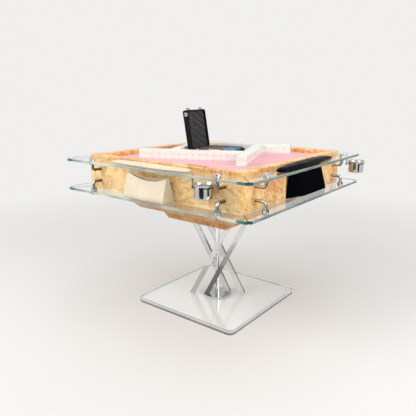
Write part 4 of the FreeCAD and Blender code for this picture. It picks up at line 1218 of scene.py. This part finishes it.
def add_lamp(name, place, size, power):
    """One soft square lamp that faces the table."""
    data = bpy.data.lights.new(name, "AREA")
    data.shape = "SQUARE"
    data.size = size
    data.energy = power
    lamp = new_object(name, data)
    lamp.location = place
    middle = Vector((0, 0, 0.6))
    lamp.rotation_euler = (middle - Vector(place)).to_track_quat("-Z", "Y").to_euler()


def add_flag(name, azimuth, width, tone):
    """A dark card standing on the floor that only mirrors see, for contrast in the chrome."""
    away, height = 2.0, 0.9
    matrix = Matrix.Rotation(math.radians(azimuth), 4, "Z") @ Matrix.Translation((away, 0, height / 2))
    matrix = matrix @ Matrix.Rotation(math.pi / 2, 4, "Y") @ Matrix.Diagonal((height, width, 1, 1))
    card = plain_plane(name, 1, matrix, tone, 1.0)
    card.visible_camera = False
    card.visible_diffuse = False
    card.visible_shadow = False
    card.visible_transmission = False


def make_studio():
    """Floor, light, reflection cards and the camera at the photograph's angle."""
    make_world()
    make_floor()
    add_lamp("key_lamp", (-1.6, -2.8, 2.7), 2.2, studio().key_power)
    add_lamp("fill_lamp", (3.0, -0.4, 1.9), 2.0, studio().fill_power)
    add_lamp("top_lamp", (0.2, 0.3, 3.1), 2.4, studio().top_power)
    add_flag("dark_card_front", -72, 1.5, (0.02, 0.019, 0.018))
    add_flag("dark_card_right", -8, 0.8, (0.012, 0.011, 0.01))
    add_flag("dark_card_far", 88, 1.1, (0.04, 0.035, 0.03))
    add_flag("dark_card_left", 184, 1.1, (0.03, 0.028, 0.026))
    data = bpy.data.cameras.new("camera")
    data.lens = studio().lens
    data.sensor_width = 36
    camera = new_object("camera", data)
    camera.location = CAMERA_PLACE
    camera.rotation_euler = [math.radians(turn) for turn in CAMERA_TURN]
    bpy.context.scene.camera = camera
    bpy.context.scene.view_settings.view_transform = "Standard"


class TABLE_OT_studio(bpy.types.Operator):
    """Set up the pale floor, the soft studio light and the camera."""
    bl_idname = "table.studio"
    bl_label = "Studio"

    def execute(self, context):
        make_studio()
        return {"FINISHED"}


class TABLE_OT_foot(bpy.types.Operator):
    """Finish the clear foot plate, mirror disc, chrome pole and slanted bars."""
    bl_idname = "table.foot"
    bl_label = "Foot and legs"

    def execute(self, context):
        dress(plate_finish(), "base_plate")
        # The bars' greys by height are painted shade and painted refraction, darkest low on the front bar
        dress(bar_finish("clear_bar", 0.93, 0.88, 0.95), "acrylic_bar_1", "acrylic_bar_4")
        dress(bar_finish("dark_low_bar_painted_shade", finishes().low_bar_shade, 0.42, 0.8), "acrylic_bar_2")
        dress(bar_finish("grey_low_bar_painted_shade", 0.6, 0.9, 0.96), "acrylic_bar_3")
        dress(metal_finish("mirror_disc", (0.42, 0.44, 0.43), 0.06, (1, 1, 1)), "base_disc")
        bright = Vector(finishes().chrome) * 1.3
        dress(metal_finish("chrome_pole", bright, 0.05, (4, 4, 0.4)), "centre_pole")
        return {"FINISHED"}


class TABLE_OT_cabinet(bpy.types.Operator):
    """Finish the burl hull, cabinet panels and rim, and the boards inside."""
    bl_idname = "table.cabinet"
    bl_label = "Wooden cabinet"

    def execute(self, context):
        dress(burl_finish("burl_calm", (1, 1, 0.96), 0.63, 0.8), "cabinet_panel_front", "cabinet_panel_back")
        for side, way in (("right", 1), ("left", -1)):
            knots = [(KNOT_OUT * way, along * way, height) for along, height in PANEL_KNOTS]
            lively = burl_finish("burl_lively_" + side, (1.0, 0.92, 0.78), 0.6, 0.7, knots)
            dress(lively, "cabinet_panel_" + side)
        dress(burl_finish("burl_rim", (1.04, 0.94, 0.75), 0.53, 1.0, RIM_KNOTS, 0.12), "table_rim")
        # The hull takes a darker copy of the burl: painted shade for its place under the table top
        dress(burl_finish("burl_hull_shaded", (0.66, 0.5, 0.27), 0.48, 1.2), "hull_lower", "hull_upper")
        dress(board_finish(), "cabinet_floor", "deck_cleats", "play_deck")
        return {"FINISHED"}


class TABLE_OT_playing_surface(bpy.types.Operator):
    """Lay the playing cloth and cover the tile lifts and the console to match."""
    bl_idname = "table.playing_surface"
    bl_label = "Playing surface"

    def execute(self, context):
        fabric = cloth_finish("pink_cloth")
        make_cloth(fabric)
        dress(fabric, "tile_lifts", "centre_console")
        return {"FINISHED"}


class TABLE_OT_glass(bpy.types.Operator):
    """Finish the eight mitred panes of the two glass ledges."""
    bl_idname = "table.glass"
    bl_label = "Glass ledges"

    def execute(self, context):
        names = ["%s_glass_%s" % (tier, side) for tier in ("upper", "lower") for side in SIDES]
        dress(glass_finish(), *names)
        return {"FINISHED"}


class TABLE_OT_carriers(bpy.types.Operator):
    """Finish the bent rods, their caps, the cup posts and the cup rings."""
    bl_idname = "table.carriers"
    bl_label = "Rods, caps and posts"

    def execute(self, context):
        # Rods, posts and rings carry a painted reflection of dark sides and one bright streak
        rods = metal_finish("polished_rod", finishes().chrome, 0.1, (2, 2, 2), painted_reflection=True)
        caps = metal_finish("polished_cap", finishes().chrome, 0.12, (2, 2, 2))
        dress(rods, "upper_hooks", "lower_hooks", "cup_posts", *["cup_ring_" + side for side in SIDES])
        dress(caps, "glass_caps")
        return {"FINISHED"}


class TABLE_OT_cups(bpy.types.Operator):
    """Make the four flared steel cups."""
    bl_idname = "table.cups"
    bl_label = "Cups"

    def execute(self, context):
        make_cups(metal_finish("cup_steel", finishes().steel, 0.12, (6, 6, 0.5)))
        return {"FINISHED"}


class TABLE_OT_pads_and_pouches(bpy.types.Operator):
    """Make the hand pads on the upper glass and the pouches on the lower glass."""
    bl_idname = "table.pads_and_pouches"
    bl_label = "Pads and pouches"

    def execute(self, context):
        pale = leather_finish("pale_leather", finishes().pale_leather, 0.5, 0.12, 1.35)
        dark = leather_finish("dark_leather", finishes().dark_leather, 0.34, 0.2, 1.085)
        matt = leather_finish("dark_leather_matt", finishes().dark_leather, 0.7, 0.15, 1.04)
        for side in SIDES:
            light = side in ("front", "back")
            slot = "pale_leather" if light else "dark_leather"
            make_pad(side, pale if light else dark, slot)
            make_pouch(side, pale if light else matt, slot)
        return {"FINISHED"}


class TABLE_OT_tiles(bpy.types.Operator):
    """Make the four walls of tiles."""
    bl_idname = "table.tiles"
    bl_label = "Tile walls"

    def execute(self, context):
        make_tile_walls()
        return {"FINISHED"}


class TABLE_OT_chip_case(bpy.types.Operator):
    """Make the chip case's tray, its open lid with quilted lining, and its metal fittings."""
    bl_idname = "table.chip_case"
    bl_label = "Chip case"

    def execute(self, context):
        # The lining's ribs carry a strong painted highlight, the covering's a faint one
        leather = case_finish("case_leather", 2400, 3)
        lining = case_finish("case_lining", 480, 26)
        metal = metal_finish("case_metal", finishes().fittings, 0.25, (3, 3, 3))
        make_tray(leather, metal, lining)
        make_lid(leather, metal, lining)
        dress(metal, "case_hinge_pin")
        return {"FINISHED"}


class TABLE_OT_chips(bpy.types.Operator):
    """Make the five rows of chips."""
    bl_idname = "table.chips"
    bl_label = "Chips"

    def execute(self, context):
        make_chips()
        return {"FINISHED"}


class TABLE_OT_machine(bpy.types.Operator):
    """Finish the shuffling disc, its motor and the friction wheel inside the cabinet."""
    bl_idname = "table.machine"
    bl_label = "Machine inside"

    def execute(self, context):
        dress(plastic_finish("machine_plastic", (0.05, 0.055, 0.06), 0.5), "shuffle_disc")
        dress(plastic_finish("motor_paint", (0.07, 0.08, 0.1), 0.35), "drive_motor")
        dress(plastic_finish("drive_rubber", (0.02, 0.02, 0.02), 0.8), "drive_wheel")
        return {"FINISHED"}


class TABLE_PT_panel(bpy.types.Panel):
    """Lists the table's pieces, finishes and studio settings."""
    bl_label = "Mahjong Table"
    bl_idname = "TABLE_PT_panel"
    bl_space_type = "VIEW_3D"
    bl_region_type = "UI"
    bl_category = "Mahjong Table"

    def draw(self, context):
        layout = self.layout
        for operator in OPERATORS:
            layout.operator(operator.bl_idname)
        for group in (context.scene.table_finishes, context.scene.table_shapes, context.scene.table_studio):
            column = layout.column()
            for name in group.__annotations__:
                column.prop(group, name)


OPERATORS = (
    TABLE_OT_studio,
    TABLE_OT_foot,
    TABLE_OT_cabinet,
    TABLE_OT_playing_surface,
    TABLE_OT_glass,
    TABLE_OT_carriers,
    TABLE_OT_cups,
    TABLE_OT_pads_and_pouches,
    TABLE_OT_tiles,
    TABLE_OT_chip_case,
    TABLE_OT_chips,
    TABLE_OT_machine,
)
CLASSES = (TableFinishes, TableShapes, StudioSettings, *OPERATORS, TABLE_PT_panel)


def register():
    """Register the classes and hang the settings on the scene."""
    for item in CLASSES:
        bpy.utils.register_class(item)
    bpy.types.Scene.table_finishes = PointerProperty(type=TableFinishes)
    bpy.types.Scene.table_shapes = PointerProperty(type=TableShapes)
    bpy.types.Scene.table_studio = PointerProperty(type=StudioSettings)


def unregister():
    """Take the settings off the scene and unregister the classes."""
    del bpy.types.Scene.table_studio
    del bpy.types.Scene.table_shapes
    del bpy.types.Scene.table_finishes
    for item in reversed(CLASSES):
        bpy.utils.unregister_class(item)


def main():
    """Make the whole table."""
    register()
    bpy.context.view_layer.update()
    bpy.ops.table.studio()
    bpy.ops.table.foot()
    bpy.ops.table.cabinet()
    bpy.ops.table.playing_surface()
    bpy.ops.table.glass()
    bpy.ops.table.carriers()
    bpy.ops.table.cups()
    bpy.ops.table.pads_and_pouches()
    bpy.ops.table.tiles()
    bpy.ops.table.chip_case()
    bpy.ops.table.chips()
    bpy.ops.table.machine()


if __name__ == "__main__":
    main()
